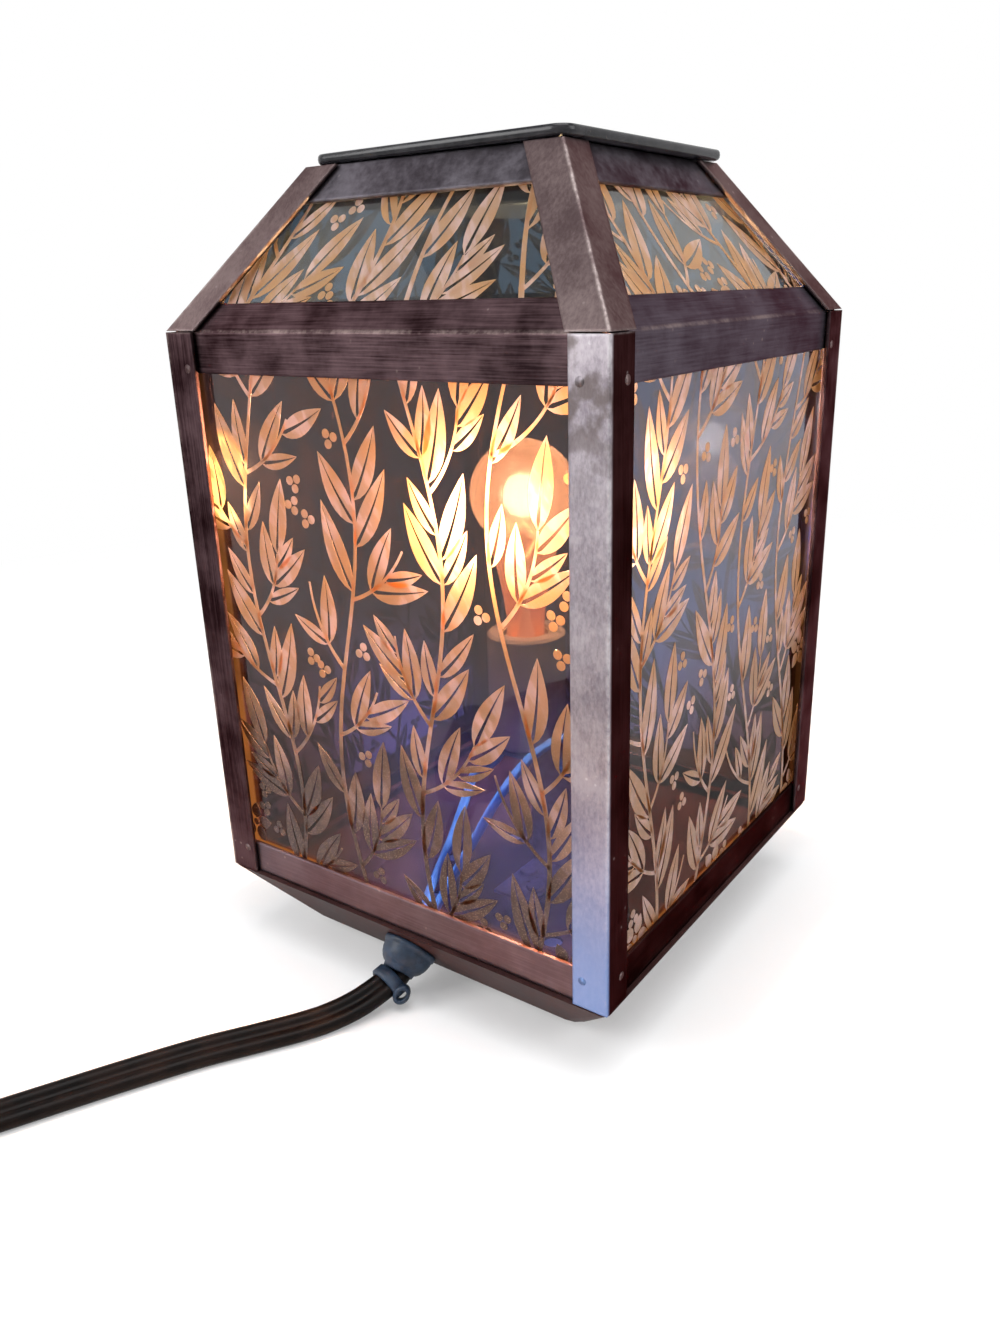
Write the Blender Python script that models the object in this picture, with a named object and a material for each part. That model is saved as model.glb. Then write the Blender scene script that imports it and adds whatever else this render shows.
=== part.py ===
"""A lantern-shaped wax warmer lamp: a folded sheet-metal cage with glass panes round a small bulb.

The wall sides are numbered from the one with the cord, which faces -Y, and go round counterclockwise.
Depths are measured inwards from the cage's outermost surface, so that nested layers never touch.
Everything is in metres, +Z up, and the origin is on the table under the middle of the lamp.
"""
import math

import bmesh
import bpy
import numpy as np
from mathutils import Matrix, Vector

# Overall sizes
BODY_WIDTH = 0.118
POST_HEIGHT = 0.140
ROOF_RISE = 0.0342
ROOF_TOP_WIDTH = 0.0685
BASE_DROP = 0.0184
BASE_FLOOR_WIDTH = 0.0908

# Sheet metal and glass
SHEET = 0.0009
CLEARANCE = 0.0003
GLASS = 0.0020
POST_FLANGE = 0.0086
HIP_FLANGE = 0.0092
BOTTOM_RAIL = 0.0086
CHANNEL_LIP = 0.0040
SHOULDER_DROP = 0.0092
SHOULDER_RISE = 0.0080
TOP_RAIL = 0.0084
TOP_LEDGE = 0.0080
ROOF_PANE_START = 0.0028
ROOF_PANE_MARGIN = 0.0020

# Base pan and feet
PAN_FLANGE = 0.0068
PAN_TOP_CORNER = 0.0016
PAN_BOTTOM_CORNER = 0.0060
PAN_FOLD = 0.0010
FOOT_RADIUS = 0.0052
FOOT_HEIGHT = 0.0020
FOOT_INSET = 0.0100
FOOT_EDGE = 0.0004
VENT_RADIUS = 0.0026
VENT_CIRCLE = 0.0290
VENTS = 8

# Wax dish, which lies loose in the top opening, a little askew
DISH_OVERHANG = 0.0003
DISH_FLANGE = 0.0023
DISH_CORNER = 0.0030
DISH_EDGE = 0.0007
WELL_INSET = 0.0239
WELL_CORNER = 0.0090
WELL_DEPTH = 0.0110
WELL_TAPER = 0.0012
WELL_WALL = 0.0020
DISH_SHIFT_X = 0.0012
DISH_SHIFT_Y = 0.0008
DISH_TURN_DEG = -1.2

# Lamp holder on its bracket
BRACKET_HEIGHT = 0.0460
BRACKET_WIDTH = 0.0130
BRACKET_SHEET = 0.0010
BRACKET_REACH = 0.0100
BRACKET_LEG = 0.0105
RIVET_RADIUS = 0.0015
RIVET_HEAD = 0.0028
RIVET_HEAD_HEIGHT = 0.0008
RIVET_SPREAD = 0.0060
HOLDER_LENGTH = 0.0320
HOLDER_RADIUS = 0.0105
HOLDER_FLOOR = 0.0060
HOLDER_SCREW_DEPTH = 0.0030
HOLDER_RIM = 0.0008
SLEEVE_WALL = 0.0005
CONTACT_HEIGHT = 0.0022
CONTACT_RADIUS = 0.0028

# Bulb
BULB_CAP_RADIUS = 0.0058
BULB_CAP_LENGTH = 0.0200
BULB_CAP_WALL = 0.0004
BULB_BUTTON = 0.0018
BULB_BUTTON_RADIUS = 0.0030
BULB_RADIUS = 0.0138
BULB_NECK_RADIUS = 0.0050
BULB_NECK_SINK = 0.0050
BULB_GLASS_LENGTH = 0.0570
BULB_WALL = 0.0006
BULB_JOIN_DEG = -42.0
BULB_NECK_EASE = 1.6
BULB_NECK_STEPS = 6
BULB_BALL_STEPS = 10
STEM_RADIUS = 0.0012
STEM_FOOT = 0.0034
STEM_LENGTH = 0.0260
FILAMENT_WIRE = 0.00035
FILAMENT_SPAN = 0.0060
FILAMENT_RISE = 0.0090
FILAMENT_SAG_SHARE = 0.72

# Cord, its bushing in the base's sloping side, and the leads inside
CORD_WIDTH = 0.0073
CORD_LIFT = 0.00005
GLAND_X = -0.0020
GLAND_HEIGHT_SHARE = 0.50
GLAND_HEAD_RADIUS = 0.0070
GLAND_HEAD = 0.0046
GLAND_CROWN = 0.0018
GLAND_NECK_RADIUS = 0.0056
GLAND_WING = 0.0036
GLAND_WING_RADIUS = 0.0064
LEAD_RADIUS = 0.0011
LEAD_SPREAD = 0.0090

# Switch on the cord
SWITCH_LENGTH = 0.0560
SWITCH_WIDTH = 0.0250
SWITCH_HEIGHT = 0.0150
SWITCH_CORNER = 0.0070
SWITCH_SPLIT = 0.0074
SWITCH_EDGE = 0.0012
ROCKER_SWING_RADIUS = 0.0070
ROCKER_WIDTH = 0.0090
ROCKER_TILT_DEG = 8.0
ROCKER_PIVOT_DROP = 0.0016
ROCKER_DIP = 0.0012
ROCKER_PIN_RADIUS = 0.0011
ROCKER_PIN_REACH = 0.0016
ROCKER_RUNNING_GAP = 0.0003
ROCKER_KEEL_DEG = 27.0
ROCKER_CREST_DEG = 20.0

# Coil of the cord that the lamp doesn't need, tied twice
COIL_CENTRE = (-0.0046, -0.2220)
COIL_INNER_RADIUS = 0.0300
COIL_PITCH = 0.0078
COIL_TURNS_A_LAYER = 2.5
COIL_POINTS_A_TURN = 24
COIL_START_DEG = 270.0
COIL_CLIMB_BULGE = 0.0016
TIE_SHEET = 0.0008
TIE_WIDTH = 0.0060
TIE_SLACK = 0.0004
TIE_ANGLES_DEG = (45.0, 240.0)

# Plug, lying on the coil
PLUG_LENGTH = 0.0260
PLUG_WIDTH = 0.0235
PLUG_THICKNESS = 0.0125
PLUG_REAR_WIDTH = 0.0105
PLUG_REAR_THICKNESS = 0.0090
PLUG_CORNER = 0.0030
PLUG_SWELL_SHARES = ((0, 0), (0.18, 0.06), (0.42, 0.62), (0.60, 0.96), (0.86, 1), (1, 0.94))
BLADE_LENGTH = 0.0159
BLADE_THICKNESS = 0.0015
BLADE_WIDTH = 0.0064
BLADE_WIDTH_WIDE = 0.0079
BLADE_SPACING = 0.0127
BLADE_HOLE_RADIUS = 0.0016
BLADE_HOLE_FROM_TIP = 0.0050
BLADE_TIP_SHARE = 0.55

# Fineness
ROUND_STEPS = 28
CORNER_STEPS = 4
CORD_STEP = 0.0105
SHARP_EDGE_DEG = 35.0
OVERRUN = 0.0010

# Sizes that follow from the ones above
BODY_HALF = BODY_WIDTH / 2
PAN_BOTTOM = FOOT_HEIGHT + CLEARANCE
PAN_FLOOR = PAN_BOTTOM + SHEET
POST_BOTTOM = PAN_BOTTOM + BASE_DROP
SHOULDER = POST_BOTTOM + POST_HEIGHT
ROOF_TOP = SHOULDER + ROOF_RISE
ROOF_SLOPE = math.atan2(ROOF_RISE, BODY_HALF - ROOF_TOP_WIDTH / 2)
ROOF_LENGTH = ROOF_RISE / math.sin(ROOF_SLOPE)
DISH_WIDTH = ROOF_TOP_WIDTH + DISH_OVERHANG
WELL_WIDTH = ROOF_TOP_WIDTH - WELL_INSET
BASE_SLOPE = math.atan2(BASE_DROP, BODY_HALF - BASE_FLOOR_WIDTH / 2)
RAIL_OUT = SHEET + CLEARANCE
RAIL_IN = RAIL_OUT + SHEET
PANE_OUT = RAIL_IN + CLEARANCE
PANE_IN = PANE_OUT + GLASS
LIP_OUT = PANE_IN + CLEARANCE
LIP_IN = LIP_OUT + SHEET
BRACKET_TOP = PAN_FLOOR + CLEARANCE + BRACKET_HEIGHT
HOLDER_BOTTOM = BRACKET_TOP + CLEARANCE
HOLDER_TOP = HOLDER_BOTTOM + HOLDER_LENGTH
HOLDER_WELL = HOLDER_BOTTOM + HOLDER_FLOOR
SLEEVE_INNER = BULB_CAP_RADIUS + CLEARANCE
SLEEVE_OUTER = SLEEVE_INNER + SLEEVE_WALL
HOLDER_BORE = SLEEVE_OUTER + CLEARANCE
BULB_BOTTOM = HOLDER_WELL + CLEARANCE + CONTACT_HEIGHT + CLEARANCE
BULB_CAP_TOP = BULB_BOTTOM + BULB_BUTTON + BULB_CAP_LENGTH
CORD_RADIUS = CORD_WIDTH / 2
CORD_Z = CORD_RADIUS + CORD_LIFT
COIL_LOW_Z = TIE_SHEET + TIE_SLACK + CORD_RADIUS
COIL_HIGH_Z = COIL_LOW_Z + COIL_PITCH
PLUG_Z = COIL_HIGH_Z + CORD_RADIUS + CLEARANCE + PLUG_THICKNESS / 2

SIDES = ("front", "right", "back", "left")
CORNERS = ("front_right", "back_right", "back_left", "front_left")

# The cord's route, in metres: from the bushing to the switch, from there to the coil, and to the plug
ROUTE_TO_SWITCH = (
    (-0.0026, -0.0610, 0.0056), (-0.0042, -0.0665, 0.0042), (-0.0104, -0.0800, 0.0037),
    (-0.0178, -0.0912, 0.0037), (-0.0247, -0.1012, 0.0037), (-0.0305, -0.1110, 0.0037),
    (-0.0358, -0.1205, 0.0037), (-0.0408, -0.1297, 0.0037), (-0.0456, -0.1386, 0.0037),
)
SWITCH_ENTRY = (-0.0500, -0.1468)
SWITCH_HEADING_DEG = 241.9
ROUTE_TO_COIL = (
    (-0.0828, -0.2132, 0.0037), (-0.0829, -0.2306, 0.0037), (-0.0769, -0.2469, 0.0038),
    (-0.0657, -0.2602, 0.0041), (-0.0507, -0.2689, 0.0045), (-0.0353, -0.2718, 0.0048),
    (-0.0235, -0.2717, 0.0049),
)
ROUTE_TO_PLUG = (
    (-0.0220, -0.1738, 0.0137), (-0.0315, -0.1783, 0.0162), (-0.0389, -0.1855, 0.0196),
    (-0.0431, -0.1950, 0.0220),
)
PLUG_REAR = (-0.0446, -0.2080)
PLUG_HEADING_DEG = 270.0
ROUTE_LEAD_LIVE = (
    (0.0005, -0.0400, 0.0225), (0.0056, -0.0330, 0.0360), (0.0108, -0.0285, 0.0478),
    (0.0148, -0.0195, 0.0560), (0.0190, -0.0110, 0.0588), (0.0205, -0.0035, 0.0545),
    (0.0165, 0.0000, 0.0470), (0.0115, 0.0005, 0.0425),
)
ROUTE_LEAD_NEUTRAL = (
    (-0.0058, -0.0385, 0.0200), (-0.0040, -0.0310, 0.0320), (-0.0048, -0.0225, 0.0410),
    (-0.0090, -0.0125, 0.0430), (-0.0110, -0.0050, 0.0405), (-0.0100, -0.0005, 0.0420),
)


def clear_scene():
    """Take away whatever the file holds, so that only the lamp is in it."""
    for old in list(bpy.data.objects):
        bpy.data.objects.remove(old)


def material(name, colour, roughness, metallic=0.0, transmission=0.0):
    made = bpy.data.materials.new(name)
    made.use_nodes = True
    shader = made.node_tree.nodes["Principled BSDF"]
    shader.inputs["Base Color"].default_value = (*colour, 1.0)
    shader.inputs["Roughness"].default_value = roughness
    shader.inputs["Metallic"].default_value = metallic
    shader.inputs["Transmission Weight"].default_value = transmission
    return made


def place(name, data, finish, matrix=None):
    """Put mesh or curve data in the scene as one named piece."""
    data.materials.append(finish)
    made = bpy.data.objects.new(name, data)
    bpy.context.collection.objects.link(made)
    if matrix is not None:
        made.matrix_world = matrix
    return made


def skin(mesh, low, high):
    """Join two rows of vertices with faces; a row of one vertex is a pole."""
    count = max(len(low), len(high))
    for i in range(count):
        j = (i + 1) % count
        corners = [low[i % len(low)], low[j % len(low)], high[j % len(high)], high[i % len(high)]]
        mesh.faces.new(list(dict.fromkeys(corners)))


def loft(name, rings, looped=False, round_piece=False):
    """A closed skin over rings of points: capped at both ends, or joined end to start when looped."""
    mesh = bmesh.new()
    rows = [[mesh.verts.new(point) for point in ring] for ring in rings]
    for low, high in zip(rows, rows[1:]):
        skin(mesh, low, high)
    if looped:
        skin(mesh, rows[-1], rows[0])
    else:
        for row in (rows[0], rows[-1]):
            if len(row) > 2:
                mesh.faces.new(row)
    bmesh.ops.recalc_face_normals(mesh, faces=mesh.faces)
    data = bpy.data.meshes.new(name)
    mesh.to_mesh(data)
    mesh.free()
    if round_piece:
        data.shade_smooth()
        data.set_sharp_from_angle(angle=math.radians(SHARP_EDGE_DEG))
    return data


def circle(radius, z, steps=ROUND_STEPS):
    """A level circle of points; radius zero is a single point."""
    if radius == 0:
        return [Vector((0, 0, z))]
    angles = [2 * math.pi * i / steps for i in range(steps)]
    return [Vector((radius * math.cos(a), radius * math.sin(a), z)) for a in angles]


def turned(name, outline, looped=False, steps=ROUND_STEPS):
    """A turned piece from (radius, height) pairs."""
    return loft(name, [circle(r, z, steps) for r, z in outline], looped, round_piece=True)


def rounded_ring(half_x, half_y, corner, z):
    """A level rectangle with round corners."""
    points = []
    for quarter, (sx, sy) in enumerate(((1, 1), (-1, 1), (-1, -1), (1, -1))):
        for step in range(CORNER_STEPS + 1):
            angle = math.pi / 2 * (quarter + step / CORNER_STEPS)
            x = sx * (half_x - corner) + corner * math.cos(angle)
            y = sy * (half_y - corner) + corner * math.sin(angle)
            points.append(Vector((x, y, z)))
    return points


def facing(side, points):
    """Turn points from the front side's place to another side's."""
    turn = Matrix.Rotation(math.pi / 2 * side, 3, "Z")
    return [turn @ Vector(point) for point in points]


def side_strip(name, side, profile, ends):
    """A profile of (outwards, height) pairs carried along one side, mitred by its ends' positions."""
    left = [(-end, -out, z) for (out, z), end in zip(profile, ends)]
    right = [(end, -out, z) for (out, z), end in zip(profile, ends)]
    return loft(name, [facing(side, left), facing(side, right)])


def mitred(profile):
    """The half length at each point of a profile whose ends meet their neighbours at 45 degrees."""
    return [out - CLEARANCE for out, _ in profile]


def roof_point(along, depth):
    """A point of the roof, at a distance up the slope from the shoulder and a depth below its face."""
    out = BODY_HALF - along * math.cos(ROOF_SLOPE) - depth * math.sin(ROOF_SLOPE)
    return out, SHOULDER + along * math.sin(ROOF_SLOPE) - depth * math.cos(ROOF_SLOPE)


def roof_half(z, depth):
    """How far out the roof is at a height, at a depth below its face."""
    return BODY_HALF - (z - SHOULDER) / math.tan(ROOF_SLOPE) - depth / math.sin(ROOF_SLOPE)


def shoulder_fold(depth):
    """Where the wall and the roof meet, at a depth below both faces."""
    return BODY_HALF - depth, SHOULDER - depth * math.tan((math.pi / 2 - ROOF_SLOPE) / 2)


def angle_section(out, inside, flange, z):
    """A level section through an angle strip at the corner right of the front side."""
    edge = out - flange
    plan = ((out, out), (out, edge), (inside, edge), (inside, inside), (edge, inside), (edge, out))
    return [(x, -y, z) for x, y in plan]


def tube(name, points, radius, finish, fineness):
    """A round wire along points, with its ends filled."""
    data = bpy.data.curves.new(name, "CURVE")
    data.dimensions = "3D"
    data.bevel_depth = radius
    data.bevel_resolution = fineness
    data.use_fill_caps = True
    line = data.splines.new("POLY")
    line.points.add(len(points) - 1)
    for target, point in zip(line.points, points):
        target.co = (*point, 1.0)
    return place(name, data, finish)


def smooth_route(points, step):
    """Points about one step apart on a smooth curve through a route, with a straight stub at each end."""
    route = np.array([tuple(p) for p in points], float)
    knots = route[1:-1]
    gaps = np.linalg.norm(np.diff(knots, axis=0), axis=1)
    at = np.concatenate([[0.0], np.cumsum(gaps)])
    slopes = np.gradient(knots, at, axis=0)
    slopes[0] = (knots[0] - route[0]) / np.linalg.norm(knots[0] - route[0])
    slopes[-1] = (route[-1] - knots[-1]) / np.linalg.norm(route[-1] - knots[-1])
    places = np.linspace(0.0, at[-1], max(2, round(at[-1] / step)) + 1)
    span = np.clip(np.searchsorted(at, places, side="right") - 1, 0, len(gaps) - 1)
    t = ((places - at[span]) / gaps[span])[:, None]
    length = gaps[span][:, None]
    start, end = knots[span], knots[span + 1]
    curve = start * (2 * t**3 - 3 * t**2 + 1) + end * (3 * t**2 - 2 * t**3)
    curve += length * (slopes[span] * (t**3 - 2 * t**2 + t) + slopes[span + 1] * (t**3 - t**2))
    return [Vector(point) for point in (route[0], *curve, route[-1])]


def cutter(name, data, matrix=None):
    """A tool shape for a cut, kept out of the picture."""
    made = bpy.data.objects.new(name, data)
    bpy.context.collection.objects.link(made)
    if matrix is not None:
        made.matrix_world = matrix
    made.hide_render = True
    made.display_type = "WIRE"
    return made


def use_tool(target, tool, operation="DIFFERENCE"):
    step = target.modifiers.new(tool.name, "BOOLEAN")
    step.operation = operation
    step.solver = "EXACT"
    step.object = tool
    return target


def bored(target, name, radius, low, high, places):
    """Drill upright holes through a piece, one at each place."""
    for number, (x, y) in enumerate(places, 1):
        drill = turned(f"{name}_{number}", [(radius, low), (radius, high)])
        use_tool(target, cutter(f"{name}_{number}", drill, Matrix.Translation((x, y, 0))))


def make_posts(metal):
    """Four upright angle strips, which lie over the ends of the rails."""
    for number, corner in enumerate(CORNERS):
        inside = BODY_HALF - SHEET
        levels = (POST_BOTTOM, SHOULDER - CLEARANCE / 2)
        sections = [angle_section(BODY_HALF, inside, POST_FLANGE, z) for z in levels]
        name = f"post_{corner}"
        place(name, loft(name, [facing(number, s) for s in sections]), metal)


def make_hips(metal):
    """Four angle strips up the roof's corners, folded to the roof's own angle and cut level."""
    for number, corner in enumerate(CORNERS):
        levels = (SHOULDER + CLEARANCE / 2, ROOF_TOP)
        sections = [
            angle_section(roof_half(z, 0), roof_half(z, SHEET), HIP_FLANGE, z) for z in levels
        ]
        name = f"hip_{corner}"
        place(name, loft(name, [facing(number, s) for s in sections]), metal)


def make_rails(metal):
    """On each side: a channel under the pane, a strip folded over the shoulder, and one with a ledge."""
    ledge = ROOF_TOP - SHEET
    channel = (
        (BODY_HALF - RAIL_OUT, POST_BOTTOM + BOTTOM_RAIL),
        (BODY_HALF - RAIL_OUT, POST_BOTTOM),
        (BODY_HALF - LIP_IN, POST_BOTTOM),
        (BODY_HALF - LIP_IN, POST_BOTTOM + CHANNEL_LIP),
        (BODY_HALF - LIP_OUT, POST_BOTTOM + CHANNEL_LIP),
        (BODY_HALF - LIP_OUT, POST_BOTTOM + SHEET),
        (BODY_HALF - RAIL_IN, POST_BOTTOM + SHEET),
        (BODY_HALF - RAIL_IN, POST_BOTTOM + BOTTOM_RAIL),
    )
    shoulder = (
        (BODY_HALF - RAIL_OUT, SHOULDER - SHOULDER_DROP),
        shoulder_fold(RAIL_OUT),
        roof_point(SHOULDER_RISE, RAIL_OUT),
        roof_point(SHOULDER_RISE, RAIL_IN),
        shoulder_fold(RAIL_IN),
        (BODY_HALF - RAIL_IN, SHOULDER - SHOULDER_DROP),
    )
    inner_edge = roof_half(ROOF_TOP, RAIL_OUT) - TOP_LEDGE
    top = (
        roof_point(ROOF_LENGTH - TOP_RAIL, RAIL_OUT),
        (roof_half(ROOF_TOP, RAIL_OUT), ROOF_TOP),
        (inner_edge, ROOF_TOP),
        (inner_edge, ledge),
        (roof_half(ledge, RAIL_IN), ledge),
        roof_point(ROOF_LENGTH - TOP_RAIL, RAIL_IN),
    )
    for kind, profile in (("bottom_rail", channel), ("shoulder_rail", shoulder), ("top_rail", top)):
        for number, side in enumerate(SIDES):
            name = f"{kind}_{side}"
            place(name, side_strip(name, number, profile, mitred(profile)), metal)


def make_panes(glass):
    """Four upright panes standing in their channels, and four that taper with the roof."""
    low = POST_BOTTOM + SHEET + CLEARANCE
    high = shoulder_fold(PANE_IN)[1] - CLEARANCE
    wall = (
        (BODY_HALF - PANE_OUT, low),
        (BODY_HALF - PANE_OUT, high),
        (BODY_HALF - PANE_IN, high),
        (BODY_HALF - PANE_IN, low),
    )
    wall_half = BODY_HALF - PANE_IN - CLEARANCE
    top = ROOF_LENGTH - ROOF_PANE_MARGIN
    roof = (
        roof_point(ROOF_PANE_START, PANE_OUT),
        roof_point(top, PANE_OUT),
        roof_point(top, PANE_IN),
        roof_point(ROOF_PANE_START, PANE_IN),
    )
    lower_half = roof[3][0] - CLEARANCE
    upper_half = roof[2][0] - CLEARANCE
    for number, side in enumerate(SIDES):
        name = f"wall_pane_{side}"
        place(name, side_strip(name, number, wall, [wall_half] * len(wall)), glass)
        name = f"roof_pane_{side}"
        ends = (lower_half, upper_half, upper_half, lower_half)
        place(name, side_strip(name, number, roof, ends), glass)


def make_base(metal, rubber):
    """The pressed pan under the cage, with its vents and holes, and the feet stuck under it."""
    floor_half = BASE_FLOOR_WIDTH / 2
    top = POST_BOTTOM - CLEARANCE
    wall = SHEET / math.sin(BASE_SLOPE)
    shelf = top - SHEET
    shelf_half = BODY_HALF - (POST_BOTTOM - shelf) / math.tan(BASE_SLOPE)
    inner_corner = PAN_BOTTOM_CORNER - SHEET
    levels = (
        (floor_half - PAN_FOLD, PAN_BOTTOM_CORNER, PAN_BOTTOM),
        (floor_half + PAN_FOLD / math.tan(BASE_SLOPE), PAN_BOTTOM_CORNER, PAN_BOTTOM + PAN_FOLD),
        (BODY_HALF, PAN_TOP_CORNER, top),
        (BODY_HALF - PAN_FLANGE, PAN_TOP_CORNER, top),
        (BODY_HALF - PAN_FLANGE, PAN_TOP_CORNER, shelf),
        (shelf_half - wall, PAN_TOP_CORNER, shelf),
        (floor_half - wall + SHEET / math.tan(BASE_SLOPE), inner_corner, PAN_FLOOR),
    )
    data = loft("base_pan", [rounded_ring(half, half, corner, z) for half, corner, z in levels])
    pan = place("base_pan", data, metal)
    under, over = PAN_BOTTOM - OVERRUN, PAN_FLOOR + OVERRUN
    turns = [2 * math.pi * number / VENTS for number in range(VENTS)]
    vents = [(VENT_CIRCLE * math.cos(a), VENT_CIRCLE * math.sin(a)) for a in turns]
    bored(pan, "vent_drill", VENT_RADIUS, under, over, vents)
    bored(pan, "pan_rivet_drill", RIVET_RADIUS + CLEARANCE, under, over, rivet_places())
    neck = GLAND_NECK_RADIUS + CLEARANCE
    drill = turned("gland_drill", [(neck, -SHEET - OVERRUN), (neck, OVERRUN)])
    use_tool(pan, cutter("gland_drill", drill, gland_matrix()))
    foot_place = floor_half - FOOT_INSET
    outline = (
        (FOOT_RADIUS - FOOT_EDGE, 0),
        (FOOT_RADIUS, FOOT_EDGE),
        (FOOT_RADIUS, FOOT_HEIGHT),
    )
    foot = turned("foot", outline)
    for number, corner in enumerate(CORNERS):
        middle = facing(number, [(foot_place, -foot_place, 0)])[0]
        place(f"foot_{corner}", foot.copy(), rubber, Matrix.Translation(middle))


def make_dish(glaze):
    """The wax dish: a flat square flange over the cage, and a well that drops into the opening."""
    half, well = DISH_WIDTH / 2, WELL_WIDTH / 2
    inner = well - WELL_WALL
    top, middle = DISH_FLANGE, DISH_FLANGE / 2
    levels = (
        (well - WELL_TAPER - DISH_EDGE, WELL_CORNER - DISH_EDGE, -WELL_DEPTH),
        (well - WELL_TAPER, WELL_CORNER, -WELL_DEPTH + DISH_EDGE),
        (well, WELL_CORNER, 0),
        (half - DISH_EDGE, DISH_CORNER, 0),
        (half, DISH_CORNER + DISH_EDGE, middle - DISH_EDGE / 2),
        (half, DISH_CORNER + DISH_EDGE, middle + DISH_EDGE / 2),
        (half - DISH_EDGE, DISH_CORNER, top),
        (inner + DISH_EDGE, WELL_CORNER, top),
        (inner, WELL_CORNER - DISH_EDGE, top - DISH_EDGE),
        (inner - WELL_TAPER, WELL_CORNER - WELL_WALL, -WELL_DEPTH + WELL_WALL + DISH_EDGE),
        (inner - WELL_TAPER - DISH_EDGE, WELL_CORNER - WELL_WALL, -WELL_DEPTH + WELL_WALL),
    )
    rings = [rounded_ring(half_width, half_width, corner, z) for half_width, corner, z in levels]
    data = loft("wax_dish", rings, round_piece=True)
    seat = Matrix.Translation((DISH_SHIFT_X, DISH_SHIFT_Y, ROOF_TOP + CLEARANCE))
    turn = Matrix.Rotation(math.radians(DISH_TURN_DEG), 4, "Z")
    place("wax_dish", data, glaze, seat @ turn)


def rivet_places():
    """Where the bracket's foot is riveted to the pan."""
    return ((-BRACKET_WIDTH / 4, RIVET_SPREAD / 2), (BRACKET_WIDTH / 4, -RIVET_SPREAD / 2))


def make_bracket(steel):
    """A strip folded into a C: its foot on the pan, its leg behind the bulb's axis, its tab on top."""
    foot = PAN_FLOOR + CLEARANCE
    back = BRACKET_LEG + BRACKET_SHEET
    outline = (
        (-BRACKET_REACH, foot),
        (back, foot),
        (back, BRACKET_TOP),
        (-BRACKET_REACH, BRACKET_TOP),
        (-BRACKET_REACH, BRACKET_TOP - BRACKET_SHEET),
        (BRACKET_LEG, BRACKET_TOP - BRACKET_SHEET),
        (BRACKET_LEG, foot + BRACKET_SHEET),
        (-BRACKET_REACH, foot + BRACKET_SHEET),
    )
    half = BRACKET_WIDTH / 2
    data = loft("holder_bracket", [[(x, y, z) for y, z in outline] for x in (-half, half)])
    bracket = place("holder_bracket", data, steel)
    hole = RIVET_RADIUS + CLEARANCE
    bored(bracket, "foot_drill", hole, foot - OVERRUN, foot + BRACKET_SHEET + OVERRUN, rivet_places())
    under = BRACKET_TOP - BRACKET_SHEET - OVERRUN
    bored(bracket, "tab_drill", hole, under, BRACKET_TOP + OVERRUN, ((0, 0),))
    low = PAN_BOTTOM - CLEARANCE
    high = foot + BRACKET_SHEET + CLEARANCE
    rivet = (
        (RIVET_HEAD - RIVET_HEAD_HEIGHT / 2, low - RIVET_HEAD_HEIGHT),
        (RIVET_HEAD, low),
        (RIVET_RADIUS, low),
        (RIVET_RADIUS, high),
        (RIVET_HEAD, high),
        (RIVET_HEAD - RIVET_HEAD_HEIGHT / 2, high + RIVET_HEAD_HEIGHT),
    )
    for number, (x, y) in enumerate(rivet_places(), 1):
        name = f"bracket_rivet_{number}"
        place(name, turned(name, rivet), steel, Matrix.Translation((x, y, 0)))


def make_holder(porcelain, brass, steel):
    """The lamp holder: a porcelain cup with its screwed sleeve, its middle contact and its screw."""
    screw_top = HOLDER_BOTTOM + HOLDER_SCREW_DEPTH
    bore = RIVET_RADIUS + CLEARANCE
    cup = (
        (bore, screw_top),
        (bore, HOLDER_BOTTOM),
        (HOLDER_RADIUS - HOLDER_RIM, HOLDER_BOTTOM),
        (HOLDER_RADIUS, HOLDER_BOTTOM + HOLDER_RIM),
        (HOLDER_RADIUS, HOLDER_TOP - HOLDER_RIM),
        (HOLDER_RADIUS - HOLDER_RIM, HOLDER_TOP),
        (HOLDER_BORE, HOLDER_TOP),
        (HOLDER_BORE, HOLDER_WELL),
    )
    place("holder_cup", turned("holder_cup", cup), porcelain)
    low, high = HOLDER_WELL + CLEARANCE, HOLDER_TOP - HOLDER_RIM
    sleeve = ((SLEEVE_OUTER, low), (SLEEVE_OUTER, high), (SLEEVE_INNER, high), (SLEEVE_INNER, low))
    place("holder_sleeve", turned("holder_sleeve", sleeve, looped=True), brass)
    contact = (
        (0, low),
        (CONTACT_RADIUS, low),
        (CONTACT_RADIUS, low + CONTACT_HEIGHT / 3),
        (CONTACT_RADIUS / 2, low + CONTACT_HEIGHT),
        (0, low + CONTACT_HEIGHT),
    )
    place("holder_contact", turned("holder_contact", contact), brass)
    under = BRACKET_TOP - BRACKET_SHEET - CLEARANCE
    screw = (
        (0, under - RIVET_HEAD_HEIGHT),
        (RIVET_HEAD - RIVET_HEAD_HEIGHT / 2, under - RIVET_HEAD_HEIGHT),
        (RIVET_HEAD, under),
        (RIVET_RADIUS, under),
        (RIVET_RADIUS, screw_top - CLEARANCE),
        (0, screw_top - CLEARANCE),
    )
    place("holder_screw", turned("holder_screw", screw), steel)


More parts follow.
